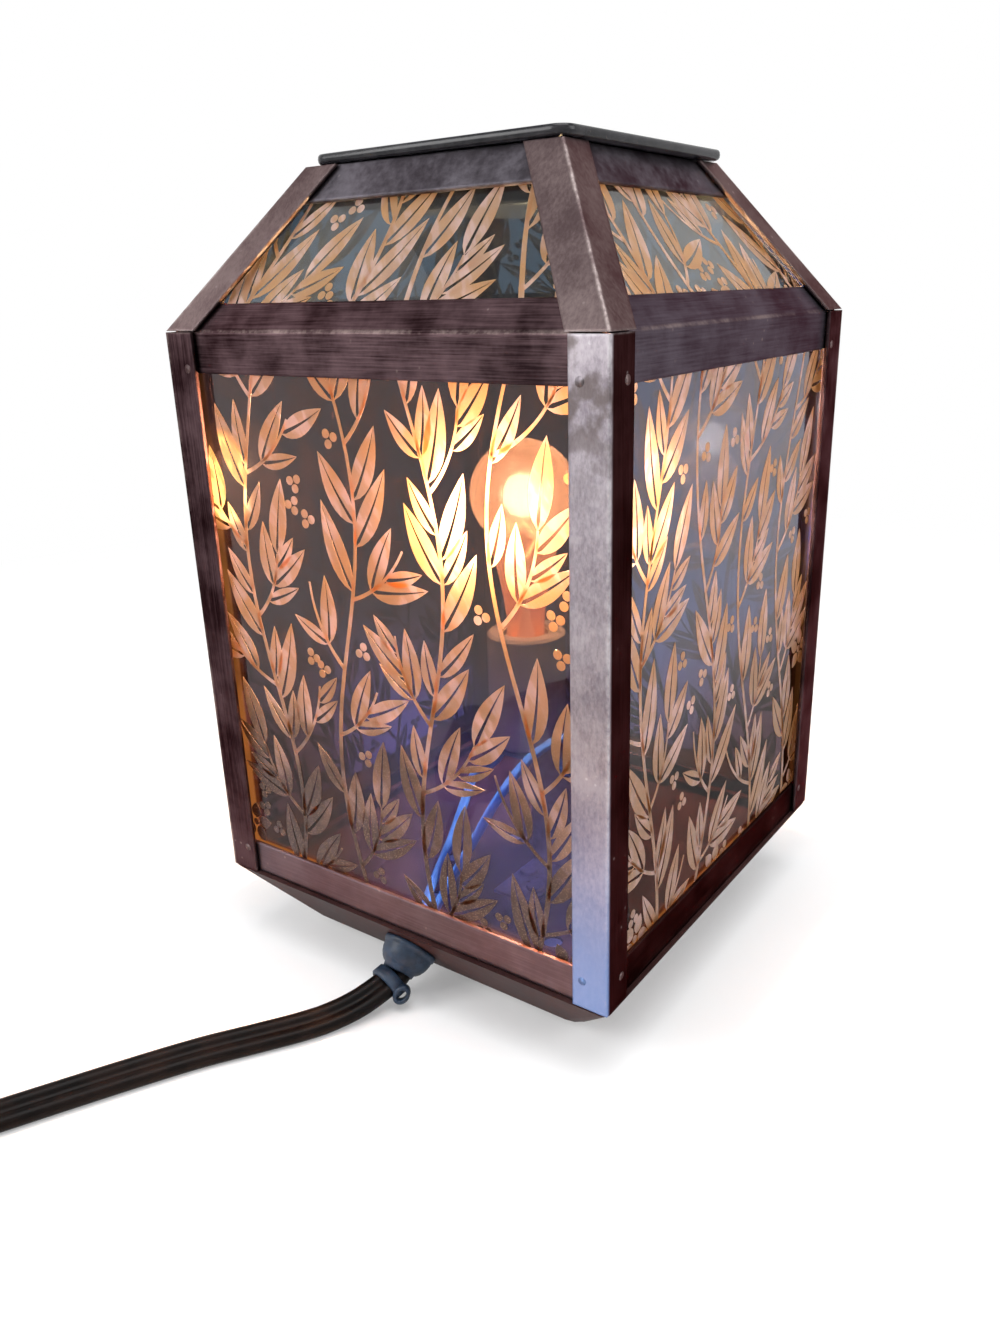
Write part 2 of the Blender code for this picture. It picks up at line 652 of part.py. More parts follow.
def bulb_outline(radius, neck, foot, top):
    """(radius, height) pairs from a bulb's neck up to its crown: an eased neck, then a ball."""
    widest = top - radius
    join = math.radians(BULB_JOIN_DEG)
    join_radius, join_z = radius * math.cos(join), widest + radius * math.sin(join)
    neck_top = BULB_CAP_TOP + BULB_NECK_SINK / 2
    outline = [(neck, foot), (neck, neck_top)]
    for step in range(1, BULB_NECK_STEPS + 1):
        share = step / (BULB_NECK_STEPS + 1)
        eased = share**BULB_NECK_EASE
        outline.append((neck + (join_radius - neck) * eased, neck_top + (join_z - neck_top) * share))
    for step in range(BULB_BALL_STEPS + 1):
        angle = join + (math.pi / 2 - join) * step / (BULB_BALL_STEPS + 1)
        outline.append((radius * math.cos(angle), widest + radius * math.sin(angle)))
    outline.append((0, top))
    return outline


def make_bulb(glass, brass, wire):
    """A small screw-cap bulb: cap with its button, glass envelope, stem and filament."""
    rim = BULB_BOTTOM + BULB_BUTTON
    top = BULB_CAP_TOP
    inner = BULB_CAP_RADIUS - BULB_CAP_WALL
    cap = (
        (0, BULB_BOTTOM),
        (BULB_BUTTON_RADIUS * 2 / 3, BULB_BOTTOM),
        (BULB_BUTTON_RADIUS, rim),
        (BULB_CAP_RADIUS, rim + BULB_BUTTON),
        (BULB_CAP_RADIUS, top),
        (inner, top),
        (inner, rim + BULB_BUTTON + BULB_CAP_WALL),
        (0, rim + BULB_CAP_WALL),
    )
    place("bulb_cap", turned("bulb_cap", cap), brass)
    foot = top - BULB_NECK_SINK
    crown = top - BULB_NECK_SINK + BULB_GLASS_LENGTH
    outer = bulb_outline(BULB_RADIUS, BULB_NECK_RADIUS, foot, crown)
    inside = bulb_outline(
        BULB_RADIUS - BULB_WALL, BULB_NECK_RADIUS - BULB_WALL, foot, crown - BULB_WALL
    )
    envelope = list(reversed(outer)) + inside
    place("bulb_glass", turned("bulb_glass", envelope), glass)
    stem_top = foot + STEM_LENGTH
    stem = (
        (0, foot),
        (STEM_FOOT, foot),
        (STEM_FOOT * 2 / 3, foot + BULB_NECK_SINK),
        (STEM_RADIUS, foot + 2 * BULB_NECK_SINK),
        (STEM_RADIUS, stem_top),
        (0, stem_top),
    )
    place("bulb_stem", turned("bulb_stem", stem), glass)
    post = stem_top + CLEARANCE + FILAMENT_WIRE
    arch = post + FILAMENT_RISE
    root, half = STEM_RADIUS / 2, FILAMENT_SPAN / 2
    sag = FILAMENT_SAG_SHARE
    bend_shares = ((-root, 0), (-FILAMENT_SPAN, 1), (-half, sag), (0, 1), (half, sag),
                   (FILAMENT_SPAN, 1), (root, 0))
    points = [Vector((x, 0, post + (arch - post) * share)) for x, share in bend_shares]
    tube("bulb_filament", points, FILAMENT_WIRE, wire, 1)


def gland_matrix():
    """On the front side's sloping face, with Z pointing straight out of the sheet."""
    drop = BASE_DROP * GLAND_HEIGHT_SHARE
    out = BODY_HALF - drop / math.tan(BASE_SLOPE)
    normal = Vector((0, -math.sin(BASE_SLOPE), -math.cos(BASE_SLOPE)))
    turn = normal.to_track_quat("Z", "Y").to_matrix().to_4x4()
    return Matrix.Translation((GLAND_X, -out, POST_BOTTOM - drop)) @ turn


def make_gland(nylon):
    """The cord's bushing: a domed head outside, a neck through the sheet and a wing inside."""
    inside = -SHEET - CLEARANCE
    outline = (
        (0, inside - GLAND_WING),
        (GLAND_NECK_RADIUS, inside - GLAND_WING),
        (GLAND_WING_RADIUS, inside - CLEARANCE),
        (GLAND_WING_RADIUS, inside),
        (GLAND_NECK_RADIUS, inside),
        (GLAND_NECK_RADIUS, CLEARANCE),
        (GLAND_HEAD_RADIUS, CLEARANCE),
        (GLAND_HEAD_RADIUS, GLAND_HEAD - GLAND_CROWN),
        (GLAND_HEAD_RADIUS - GLAND_CROWN / 3, GLAND_HEAD - GLAND_CROWN / 3),
        (GLAND_HEAD_RADIUS - GLAND_CROWN, GLAND_HEAD),
        (0, GLAND_HEAD),
    )
    place("cord_bushing", turned("cord_bushing", outline), nylon, gland_matrix())


def make_leads(rubber):
    """Two slack wires from the bushing up to the holder's terminals."""
    matrix = gland_matrix()
    start = -SHEET - CLEARANCE * 2 - GLAND_WING
    under = HOLDER_BOTTOM - CLEARANCE
    for name, sign, route in (
        ("lead_live", 1, ROUTE_LEAD_LIVE),
        ("lead_neutral", -1, ROUTE_LEAD_NEUTRAL),
    ):
        offset = sign * (LEAD_RADIUS + CLEARANCE)
        end = Vector((sign * LEAD_SPREAD, 0, under))
        below = end - Vector((0, 0, 2 * LEAD_RADIUS))
        inside = [matrix @ Vector((offset, 0, start - step)) for step in (0, 2 * LEAD_RADIUS)]
        points = [*inside, *route, below, end]
        tube(name, smooth_route(points, LEAD_RADIUS * 3), LEAD_RADIUS, rubber, 1)


def heading(degrees):
    return Vector((math.cos(math.radians(degrees)), math.sin(math.radians(degrees)), 0))


def coil_path():
    """Two layers of turns: in along the lower, up a layer as the spiral reverses, out along the upper."""
    turns = COIL_TURNS_A_LAYER
    total = 2 * turns + 0.5
    at = np.linspace(0.0, total, round(total * COIL_POINTS_A_TURN) + 1)
    climb = np.clip((at - turns) / 0.5, 0.0, 1.0)
    turns_out = np.where(at < turns, turns - at, np.maximum(at - turns - 0.5, 0))
    radius = COIL_INNER_RADIUS + COIL_PITCH * turns_out
    radius = radius - COIL_CLIMB_BULGE * np.sin(np.pi * climb)
    height = COIL_LOW_Z + (COIL_HIGH_Z - COIL_LOW_Z) * climb * climb * (3 - 2 * climb)
    angle = np.radians(COIL_START_DEG) + 2 * np.pi * at
    x = COIL_CENTRE[0] + radius * np.cos(angle)
    y = COIL_CENTRE[1] + radius * np.sin(angle)
    path = np.stack([x, y, height], axis=1)
    first, last = path[0] - path[1], path[-1] - path[-2]
    first[2] = last[2] = 0.0
    first *= CORD_WIDTH / np.linalg.norm(first)
    last *= CORD_WIDTH / np.linalg.norm(last)
    return np.concatenate([[path[0] + first], path, [path[-1] + last]])


def least_gap(path, width):
    """The smallest space between a winding's turns, measured between points on its middle line."""
    steps = np.linalg.norm(np.diff(path, axis=0), axis=1)
    at = np.concatenate([[0.0], np.cumsum(steps)])
    apart = np.linalg.norm(path[:, None] - path[None], axis=2)
    near = np.abs(at[:, None] - at[None]) < 4 * width
    return float(apart[~near].min()) - width


def make_coil(rubber, strap):
    """The wound cord and the two ties that it lies on."""
    path = coil_path()
    print(f"least gap between the coil's turns: {least_gap(path, CORD_WIDTH):.5f} m")
    tube("cord_coil", [Vector(p) for p in path], CORD_RADIUS, rubber, 1)
    middle = np.array([*COIL_CENTRE, 0.0])
    away = path[1:-1] - middle
    reach = np.hypot(away[:, 0], away[:, 1])
    angle = np.arctan2(away[:, 1], away[:, 0])
    for number, degrees in enumerate(TIE_ANGLES_DEG, 1):
        off = np.abs(np.angle(np.exp(1j * (angle - math.radians(degrees)))))
        under = off < 2 * math.pi / COIL_POINTS_A_TURN
        low = float(reach[under].min()) - CORD_RADIUS - TIE_SLACK
        high = float(reach[under].max()) + CORD_RADIUS + TIE_SLACK
        roof = COIL_HIGH_Z + CORD_RADIUS + TIE_SLACK
        half_out, half_up = (high - low) / 2, (roof - TIE_SHEET) / 2
        rings = []
        for along in (-TIE_WIDTH / 2, TIE_WIDTH / 2):
            rings.append((half_out + TIE_SHEET, half_up + TIE_SHEET, CORD_RADIUS, along))
        for along in (TIE_WIDTH / 2, -TIE_WIDTH / 2):
            rings.append((half_out, half_up, CORD_RADIUS - TIE_SHEET, along))
        data = loft(f"coil_tie_{number}", [rounded_ring(*ring) for ring in rings], looped=True)
        out = heading(degrees)
        across = Vector((0, 0, 1)).cross(out)
        frame = Matrix((out, Vector((0, 0, 1)), across)).transposed().to_4x4()
        spot = Vector(middle) + out * (low + high) / 2 + Vector((0, 0, half_up + TIE_SHEET))
        place(f"coil_tie_{number}", data, strap, Matrix.Translation(spot) @ frame)


def make_cord(rubber):
    """The cord's open stretches, each ending a clearance short of what it goes into."""
    exit_point = gland_matrix() @ Vector((0, 0, GLAND_HEAD + CLEARANCE))
    step_out = gland_matrix() @ Vector((0, 0, GLAND_HEAD + CORD_RADIUS / 2))
    along = heading(SWITCH_HEADING_DEG)
    entry = Vector((*SWITCH_ENTRY, CORD_Z))
    leave = entry + along * SWITCH_LENGTH
    route = [exit_point, step_out, *ROUTE_TO_SWITCH, entry - along * CLEARANCE]
    tube("cord_to_switch", smooth_route(route, CORD_STEP), CORD_RADIUS, rubber, 2)
    path = [Vector(p) for p in coil_path()]
    into = (path[0] - path[1]).normalized()
    away = (path[-1] - path[-2]).normalized()
    first, last = path[0] + into * CLEARANCE, path[-1] + away * CLEARANCE
    route = [leave + along * CLEARANCE, leave + along * CORD_RADIUS, *ROUTE_TO_COIL,
             first + into * CORD_RADIUS, first]
    tube("cord_to_coil", smooth_route(route, CORD_STEP), CORD_RADIUS, rubber, 2)
    plug_along = heading(PLUG_HEADING_DEG)
    rear = Vector((*PLUG_REAR, PLUG_Z)) - plug_along * CLEARANCE
    route = [last, last + away * CORD_RADIUS, *ROUTE_TO_PLUG, rear - plug_along * CORD_RADIUS, rear]
    tube("cord_to_plug", smooth_route(route, CORD_STEP), CORD_RADIUS, rubber, 2)


def along_matrix(place_xy, z, degrees):
    """A frame whose X points along a heading on the table."""
    return Matrix.Translation((*place_xy, z)) @ Matrix.Rotation(math.radians(degrees), 4, "Z")


def make_switch(plastic, knob):
    """The switch on the cord: two housing halves and a rocker on its pin."""
    half, across = SWITCH_LENGTH / 2, SWITCH_WIDTH / 2
    middle = along_matrix(SWITCH_ENTRY, 0, SWITCH_HEADING_DEG) @ Matrix.Translation((half, 0, 0))
    edge = SWITCH_EDGE

    def level(inset, z):
        return rounded_ring(half - inset, across - inset, SWITCH_CORNER - inset, z)

    lower = loft("switch_base", [level(edge, 0), level(0, edge), level(0, SWITCH_SPLIT)])
    place("switch_base", lower, plastic, middle)
    seam = SWITCH_SPLIT + CLEARANCE
    upper = [level(0, seam), level(0, SWITCH_HEIGHT - 2 * edge), level(edge, SWITCH_HEIGHT - edge / 2),
             level(2 * edge, SWITCH_HEIGHT)]
    cover = place("switch_cover", loft("switch_cover", upper), plastic, middle)
    pivot = SWITCH_HEIGHT - ROCKER_PIVOT_DROP
    bay_half = ROCKER_SWING_RADIUS + ROCKER_RUNNING_GAP
    bay_width = ROCKER_WIDTH / 2 + ROCKER_RUNNING_GAP
    keel = math.radians(ROCKER_KEEL_DEG)
    depth = ROCKER_SWING_RADIUS * math.sin(keel + math.radians(ROCKER_TILT_DEG)) + ROCKER_RUNNING_GAP
    bay = [(-bay_half, pivot - depth), (bay_half, pivot - depth), (bay_half, SWITCH_HEIGHT + OVERRUN),
           (-bay_half, SWITCH_HEIGHT + OVERRUN)]
    data = loft("rocker_bay", [[(x, y, z) for x, z in bay] for y in (-bay_width, bay_width)])
    use_tool(cover, cutter("rocker_bay", data, middle))
    lying = Matrix.Rotation(math.pi / 2, 4, "X")
    pin_half = ROCKER_WIDTH / 2 + ROCKER_PIN_REACH
    hole_half = pin_half + ROCKER_RUNNING_GAP
    hole = ROCKER_PIN_RADIUS + ROCKER_RUNNING_GAP
    at_pivot = middle @ Matrix.Translation((0, 0, pivot))
    drill = turned("rocker_pin_drill", [(hole, -hole_half), (hole, hole_half)], steps=16)
    use_tool(cover, cutter("rocker_pin_drill", drill, at_pivot @ lying))
    swing, crest = ROCKER_SWING_RADIUS, math.radians(ROCKER_CREST_DEG)
    angles = [math.pi - crest, math.pi, math.pi + keel, -keel, 0, crest]
    outline = [(swing * math.cos(a), swing * math.sin(a)) for a in angles]
    outline.append((0, ROCKER_DIP))
    side = ROCKER_WIDTH / 2
    data = loft("switch_rocker", [[(x, y, z) for x, z in outline] for y in (-side, side)])
    tilt = Matrix.Rotation(math.radians(ROCKER_TILT_DEG), 4, "Y")
    rocker = place("switch_rocker", data, knob, at_pivot @ tilt)
    pin = turned("rocker_pin", [(ROCKER_PIN_RADIUS, -pin_half), (ROCKER_PIN_RADIUS, pin_half)], steps=16)
    use_tool(rocker, cutter("rocker_pin", pin, at_pivot @ tilt @ lying), "UNION")


def make_plug(plastic, brass):
    """The two-blade plug: a body that swells from the cord to its face, and blades of two widths."""
    matrix = along_matrix(PLUG_REAR, PLUG_Z, PLUG_HEADING_DEG) @ Matrix.Rotation(math.pi / 2, 4, "Y")
    wide, thick = PLUG_WIDTH / 2, PLUG_THICKNESS / 2
    rear_wide, rear_thick = PLUG_REAR_WIDTH / 2, PLUG_REAR_THICKNESS / 2
    rings = []
    for along, swell in PLUG_SWELL_SHARES:
        out = rear_thick + (thick - rear_thick) * swell
        side = rear_wide + (wide - rear_wide) * swell
        rings.append(rounded_ring(out, side, PLUG_CORNER, PLUG_LENGTH * along))
    place("plug_body", loft("plug_body", rings, round_piece=True), plastic, matrix)
    root = PLUG_LENGTH + CLEARANCE
    for name, sign, width in (("blade_live", 1, BLADE_WIDTH), ("blade_neutral", -1, BLADE_WIDTH_WIDE)):
        half, tip = width / 2, width / 2 * BLADE_TIP_SHARE
        shoulder = root + BLADE_LENGTH - BLADE_WIDTH / 3
        outline = ((-half, root), (half, root), (half, shoulder), (tip, root + BLADE_LENGTH),
                   (-tip, root + BLADE_LENGTH), (-half, shoulder))
        faces = [sign * BLADE_SPACING / 2 + s * BLADE_THICKNESS / 2 for s in (-1, 1)]
        data = loft(name, [[(x, y, z) for x, z in outline] for y in faces])
        blade = place(name, data, brass, matrix)
        reach = BLADE_THICKNESS / 2 + OVERRUN
        drill = turned(f"{name}_drill", [(BLADE_HOLE_RADIUS, -reach), (BLADE_HOLE_RADIUS, reach)], steps=16)
        spot = Matrix.Translation((0, sign * BLADE_SPACING / 2, root + BLADE_LENGTH - BLADE_HOLE_FROM_TIP))
        lying = Matrix.Rotation(math.pi / 2, 4, "X")
        use_tool(blade, cutter(f"{name}_drill", drill, matrix @ spot @ lying))


def build():
    clear_scene()
    bronze = material("brushed_bronze", (0.16, 0.085, 0.065), 0.38, 1.0)
    chamfer = material("dark_bronze", (0.10, 0.055, 0.045), 0.45, 1.0)
    glass = material("printed_glass", (0.55, 0.45, 0.48), 0.08, 0.0, 0.9)
    glaze = material("black_glaze", (0.03, 0.03, 0.035), 0.12)
    rubber = material("black_rubber", (0.02, 0.02, 0.02), 0.6)
    nylon = material("black_nylon", (0.025, 0.03, 0.04), 0.4)
    plastic = material("black_plastic", (0.03, 0.03, 0.03), 0.45)
    steel = material("zinc_steel", (0.55, 0.55, 0.56), 0.35, 1.0)
    brass = material("brass", (0.72, 0.52, 0.22), 0.3, 1.0)
    porcelain = material("white_porcelain", (0.85, 0.83, 0.78), 0.25)
    frosted = material("frosted_glass", (1.0, 0.95, 0.85), 0.35, 0.0, 0.8)
    tungsten = material("tungsten", (0.4, 0.38, 0.36), 0.4, 1.0)
    make_posts(bronze)
    make_hips(bronze)
    make_rails(bronze)
    make_panes(glass)
    make_base(chamfer, rubber)
    make_dish(glaze)
    make_bracket(steel)
    make_holder(porcelain, brass, steel)
    make_bulb(frosted, brass, tungsten)
    make_gland(nylon)
    make_leads(rubber)
    make_cord(rubber)
    make_coil(rubber, nylon)
    make_switch(plastic, nylon)
    make_plug(plastic, brass)


build()
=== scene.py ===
# %% [markdown]
# # A lantern-shaped wax warmer lamp
# The real lamp is a cage of folded sheet metal with eight glass panes, a small bulb inside and a black
# dish on top. Its solids come in as a fixed frame. This lesson gives them their finishes and adds the
# pieces that plain solids can't show: the leaf print, the bulb's thread, the glazed dish and the cord.
# The solids themselves are never moved.

# %% Load the solids
import math

import bpy
import numpy as np
from mathutils import Matrix, Vector


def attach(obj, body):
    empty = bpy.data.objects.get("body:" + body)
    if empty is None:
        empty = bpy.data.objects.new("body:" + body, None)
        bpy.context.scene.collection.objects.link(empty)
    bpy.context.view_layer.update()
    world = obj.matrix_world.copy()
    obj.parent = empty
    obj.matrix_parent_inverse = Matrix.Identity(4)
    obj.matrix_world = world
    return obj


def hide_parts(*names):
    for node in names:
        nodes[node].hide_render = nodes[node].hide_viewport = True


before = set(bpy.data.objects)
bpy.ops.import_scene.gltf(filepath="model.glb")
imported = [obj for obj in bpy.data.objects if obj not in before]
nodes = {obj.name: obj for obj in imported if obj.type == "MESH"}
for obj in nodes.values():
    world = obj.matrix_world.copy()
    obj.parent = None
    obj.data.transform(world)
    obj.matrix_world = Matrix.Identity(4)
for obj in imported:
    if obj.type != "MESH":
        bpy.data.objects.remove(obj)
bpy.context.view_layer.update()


def in_scene(name, data):
    """A new object of the scene, made from its data."""
    made = bpy.data.objects.new(name, data)
    bpy.context.scene.collection.objects.link(made)
    return made

# %% [markdown]
# ## Camera
# The photograph was taken from a little above the lamp, towards one of its corners. The camera's place
# and turn were worked out from points of the cage, so they are written here as three directions. A
# constraint could aim the camera too, but it would lose the photograph's small roll.

# %% Camera
CAMERA_PLACE = (0.15098, -0.21872, 0.1686)
CAMERA_RIGHT = Vector((0.81794, 0.5747, -0.02633))
CAMERA_DOWN = Vector((0.173, -0.28936, -0.94146))
CAMERA_AHEAD = Vector((-0.54868, 0.7655, -0.3361))

lens = bpy.data.cameras.new("camera")
lens.sensor_fit = "VERTICAL"
lens.sensor_height = 36.0
lens.lens = 28.1
lens.shift_x = -0.00839
lens.shift_y = -0.007
lens.clip_start = 0.01
camera = in_scene("camera", lens)
turn = Matrix((CAMERA_RIGHT, -CAMERA_DOWN, -CAMERA_AHEAD)).transposed()
camera.matrix_world = Matrix.Translation(CAMERA_PLACE) @ turn.to_4x4()
bpy.context.scene.camera = camera
print("camera", CAMERA_PLACE, "lens", lens.lens, "mm")

# %% [markdown]
# ## Sizes that are shared
# A piece that lies on a solid has to know where that solid is. These few sizes repeat the cage's own.
# They could be searched for in the solids' meshes, but a named size is easier to read and to change.

# %% Shared sizes
BODY_HALF = 0.059
SHOULDER = 0.1607
ROOF_TOP = 0.1949
ROOF_TOP_HALF = 0.03425
PANE_DEPTH = 0.0024
ROOF_SLOPE = math.atan2(ROOF_TOP - SHOULDER, BODY_HALF - ROOF_TOP_HALF)
BULB_MIDDLE = (0.0, 0.0, 0.118)
SIDES = ("front", "right", "back", "left")

# %% [markdown]
# ## From a grid of points to a mesh
# Most pieces here are a grid: rows along the piece, columns round it. One helper turns such a grid into
# a closed mesh, so that each piece below only has to say where its points are. A curve with a bevel
# could make the tubes, but a grid can also change its section on the way, and it is a mesh from the start.

# %% Mesh helpers
def put(name, points, faces, finish, body="lamp", smooth=True):
    """A new piece from points (n by 3) and faces, riding on a body, or part of the stage with body None."""
    mesh = bpy.data.meshes.new(name)
    mesh.from_pydata(np.asarray(points, float).tolist(), [], faces)
    mesh.polygons.foreach_set("use_smooth", [smooth] * len(mesh.polygons))
    mesh.materials.append(finish)
    mesh.update()
    piece = in_scene(name, mesh)
    if body:
        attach(piece, body)
    return piece


def grid_faces(rows, columns, round_columns=True, round_rows=False):
    """Quads between neighbouring rows and columns of a grid of points, wrapping where asked."""
    r = np.arange(rows if round_rows else rows - 1)[:, None]
    c = np.arange(columns if round_columns else columns - 1)[None]
    here, there = r * columns, (r + 1) % rows * columns
    right = (c + 1) % columns
    quads = np.stack([here + c, here + right, there + right, there + c], axis=-1)
    return quads.reshape(-1, 4).tolist()


def capped(rows, columns):
    """A tube's quads with a flat end on its first and last row."""
    last = (rows - 1) * columns
    ends = [list(range(columns))[::-1], list(range(last, last + columns))]
    return grid_faces(rows, columns) + ends


def repeated(faces, copies, size):
    """The faces of a shape of size points, once for each of its copies."""
    return [[corner + size * number for corner in face] for number in range(copies) for face in faces]


def unit(vectors):
    """Vectors of the same directions and of length 1."""
    vectors = np.asarray(vectors, float)
    return vectors / np.linalg.norm(vectors, axis=-1, keepdims=True)


def turned(points, cosine, sine):
    """Points turned round Z by an angle of that cosine and sine."""
    x, y = points[:, 0] * cosine - points[:, 1] * sine, points[:, 0] * sine + points[:, 1] * cosine
    return np.stack([x, y, points[:, 2]], axis=1)


def directions(angles):
    """The flat direction (cos, sin) of each angle."""
    return np.stack([np.cos(angles), np.sin(angles)], axis=-1)


def even_angles(steps):
    """Angles in equal steps once round."""
    return np.arange(steps) * 2 * np.pi / steps


def lathe(outline, steps=48):
    """Each (radius, height) pair of an outline carried once round Z: x = r cos a, y = r sin a."""
    outline = np.asarray(outline, float)
    ring = directions(even_angles(steps))
    flat = outline[:, None, :1] * ring[None]
    height = np.broadcast_to(outline[:, None, 1:], (len(outline), steps, 1))
    return np.concatenate([flat, height], axis=2).reshape(-1, 3)


def rounded_square(half, corner, z, steps=10):
    """A square ring with quarter circles of a radius at its corners, counterclockwise."""
    angle = np.linspace(0, np.pi / 2, steps)[None] + np.arange(4)[:, None] * np.pi / 2
    centre = (half - corner) * np.sqrt(2)
    middle = np.pi / 4 + np.arange(4)[:, None] * np.pi / 2
    x = centre * np.cos(middle) + corner * np.cos(angle)
    y = centre * np.sin(middle) + corner * np.sin(angle)
    return np.stack([x, y, np.full_like(x, z)], axis=-1).reshape(-1, 3)


def across_axes(along, twist):
    """Two directions across a path, the first level and the second up, turned about it by a twist."""
    level = unit(np.cross(along, [0.0, 0.0, 1.0]))
    up = np.cross(level, along)
    c, s = np.cos(twist)[..., None], np.sin(twist)[..., None]
    return level * c + up * s, up * c - level * s


def carried(path, section, twist):
    """A closed section (k by 2) carried along a path: its first axis stays level, its second points up.

    twist turns the section about the path, in radians at each point of the path.
    """
    first, second = across_axes(unit(np.gradient(path, axis=0)), twist)
    points = path[:, None] + section[None, :, :1] * first[:, None] + section[None, :, 1:] * second[:, None]
    return points.reshape(-1, 3)


TUBE_STEPS = 14


def transported(path, radius):
    """A round tube whose rings turn as little as they can from one to the next."""
    along = unit(np.gradient(path, axis=0))
    aside = np.cross(along[0], [1.0, 0.2, 0.1])
    firsts = []
    for ahead in along:
        aside = unit(aside - ahead * np.dot(aside, ahead))
        firsts.append(aside)
    first = np.array(firsts)
    second = np.cross(along, first)
    c, s = directions(even_angles(TUBE_STEPS)).T[:, None, :, None]
    ring = first[:, None] * c + second[:, None] * s
    return (path[:, None] + ring * radius).reshape(-1, 3)

# %% [markdown]
# ## Node helpers
# A material is a small graph, which could be drawn by hand in the Shader Editor. In a script, these
# helpers keep it readable: `add` makes a node, whose kind leaves out the word ShaderNode, and fills its
# inputs with numbers or with other nodes' outputs.

# %% Node helpers
def fill(node, inputs):
    """Fills a node's inputs, given as {name or number: value, output, or node for its first output}."""
    for name, value in dict(inputs).items():
        value = value.outputs[0] if isinstance(value, bpy.types.Node) else value
        if isinstance(value, bpy.types.NodeSocket):
            node.id_data.links.new(value, node.inputs[name])
        else:
            node.inputs[name].default_value = value


def add(tree, kind, inputs=(), **settings):
    """A shader node or group node of a kind, with settings, and with its inputs filled."""
    made = tree.nodes.new(kind if kind.startswith("NodeGroup") else "ShaderNode" + kind)
    for name, value in settings.items():
        setattr(made, name, value)
    fill(made, inputs)
    return made


def sums(tree, operation, *values):
    """The result of one Math node."""
    return add(tree, "Math", dict(enumerate(values)), operation=operation).outputs[0]


def times(tree, first, second):
    """A product."""
    return sums(tree, "MULTIPLY", first, second)


def ramp(tree, value, low, high, start=0.0, end=1.0):
    """A value's smooth rise from start to end while it goes from low to high."""
    made = add(tree, "MapRange", {"Value": value, "From Min": low, "From Max": high, "To Min": start,
                                  "To Max": end}, interpolation_type="SMOOTHSTEP")
    return made.outputs["Result"]


def blend(tree, share, first, second, mode="MIX"):
    """Two colours mixed by a share."""
    made = add(tree, "Mix", {0: share, 6: first, 7: second}, data_type="RGBA", blend_type=mode)
    return made.outputs[2]


def noise(tree, where, scale, detail, rough=0.5):
    """A noise between 0 and 1 over a place."""
    inputs = {"Vector": where, "Scale": scale, "Detail": detail, "Roughness": rough}
    return add(tree, "TexNoise", inputs).outputs["Fac"]


def object_place(tree):
    """A point's Object coordinates."""
    return add(tree, "TexCoord").outputs["Object"]


def axes_of(tree, where):
    """The x, y and z of a place."""
    return add(tree, "SeparateXYZ", {0: where}).outputs


def new_material(name, settings=()):
    """A material with its Principled shader, whose inputs are given by settings, joined to the output."""
    finish = bpy.data.materials.new(name)
    finish.use_nodes = True
    tree = finish.node_tree
    tree.nodes.clear()
    shader = add(tree, "BsdfPrincipled", settings)
    output = add(tree, "OutputMaterial", {"Surface": shader})
    return finish, tree, shader, output


def mix_shaders(tree, output, share, first, second):
    """Joins the output to two shaders, mixed by a share."""
    mixed = add(tree, "MixShader", {0: share, 1: first, 2: second})
    fill(output, {"Surface": mixed})


def pass_shadow_rays(tree, shader, output, tint):
    """Gives shadow rays alone a clear, tinted surface in the shader's place."""
    through = add(tree, "BsdfTransparent", {"Color": (*tint, 1)})
    mix_shaders(tree, output, add(tree, "LightPath").outputs["Is Shadow Ray"], shader, through)


def dress(finish, *starts):
    """Gives the CAD nodes whose names start in one of these ways a finish in all their material slots."""
    for name in [name for name in nodes if name.startswith(starts)]:
        for slot in nodes[name].material_slots:
            slot.material = finish
        if not nodes[name].material_slots:
            nodes[name].data.materials.append(finish)

# %% [markdown]
# ## Stage
# The lamp stands on a pale floor within a round backdrop. More light could turn both white, but it would
# bleach the lamp as well. So they glow white only for what looks straight at them, which is the camera,
# a reflection or the glass, and the floor keeps the lamp's shadow near it.

# %% Stage
def pale_finish(name, grey, white, far_white):
    """A matte surface that glows white for what looks straight at it, and more so far away."""
    settings = {"Base Color": (grey, grey, grey, 1), "Roughness": 0.9, "Specular IOR Level": 0.1}
    finish, tree, shader, output = new_material(name, settings)
    seen = add(tree, "LightPath").outputs
    looks = sums(tree, "MAXIMUM", seen["Is Camera Ray"], seen["Is Glossy Ray"])
    looks = sums(tree, "MAXIMUM", looks, seen["Is Transmission Ray"])
    glow = add(tree, "Emission", {"Color": (1, 1, 1, 1), "Strength": 1.0})
    away = add(tree, "VectorMath", {0: object_place(tree)}, operation="LENGTH").outputs["Value"]
    share = ramp(tree, away, 0.18, 0.55, white, far_white)
    mix_shaders(tree, output, times(tree, looks, share), shader, glow)
    return finish


FLOOR_HALF, WALL_RADIUS, WALL_HIGH, WALL_STEPS = 1.6, 1.5, 1.8, 64
edge = FLOOR_HALF * np.array([(-1, -1, 0), (1, -1, 0), (1, 1, 0), (-1, 1, 0)])
put("floor", edge, [[0, 1, 2, 3]], pale_finish("floor_pale", 0.9, 0.25, 1.0), None)
wall = lathe([(WALL_RADIUS, -0.001), (WALL_RADIUS, WALL_HIGH)], WALL_STEPS)
put("backdrop", wall, grid_faces(2, WALL_STEPS), pale_finish("backdrop_pale", 0.86, 1.0, 1.0), None)


# %% [markdown]
# ## Light
# Three broad softboxes light the lamp: one at the left front, which also gives the posts' front faces
# their sheen, one above, and a weak one at the right. A photograph of a studio could surround the lamp
# instead, but a few boxes are easier to place and give folded metal wide, soft highlights.

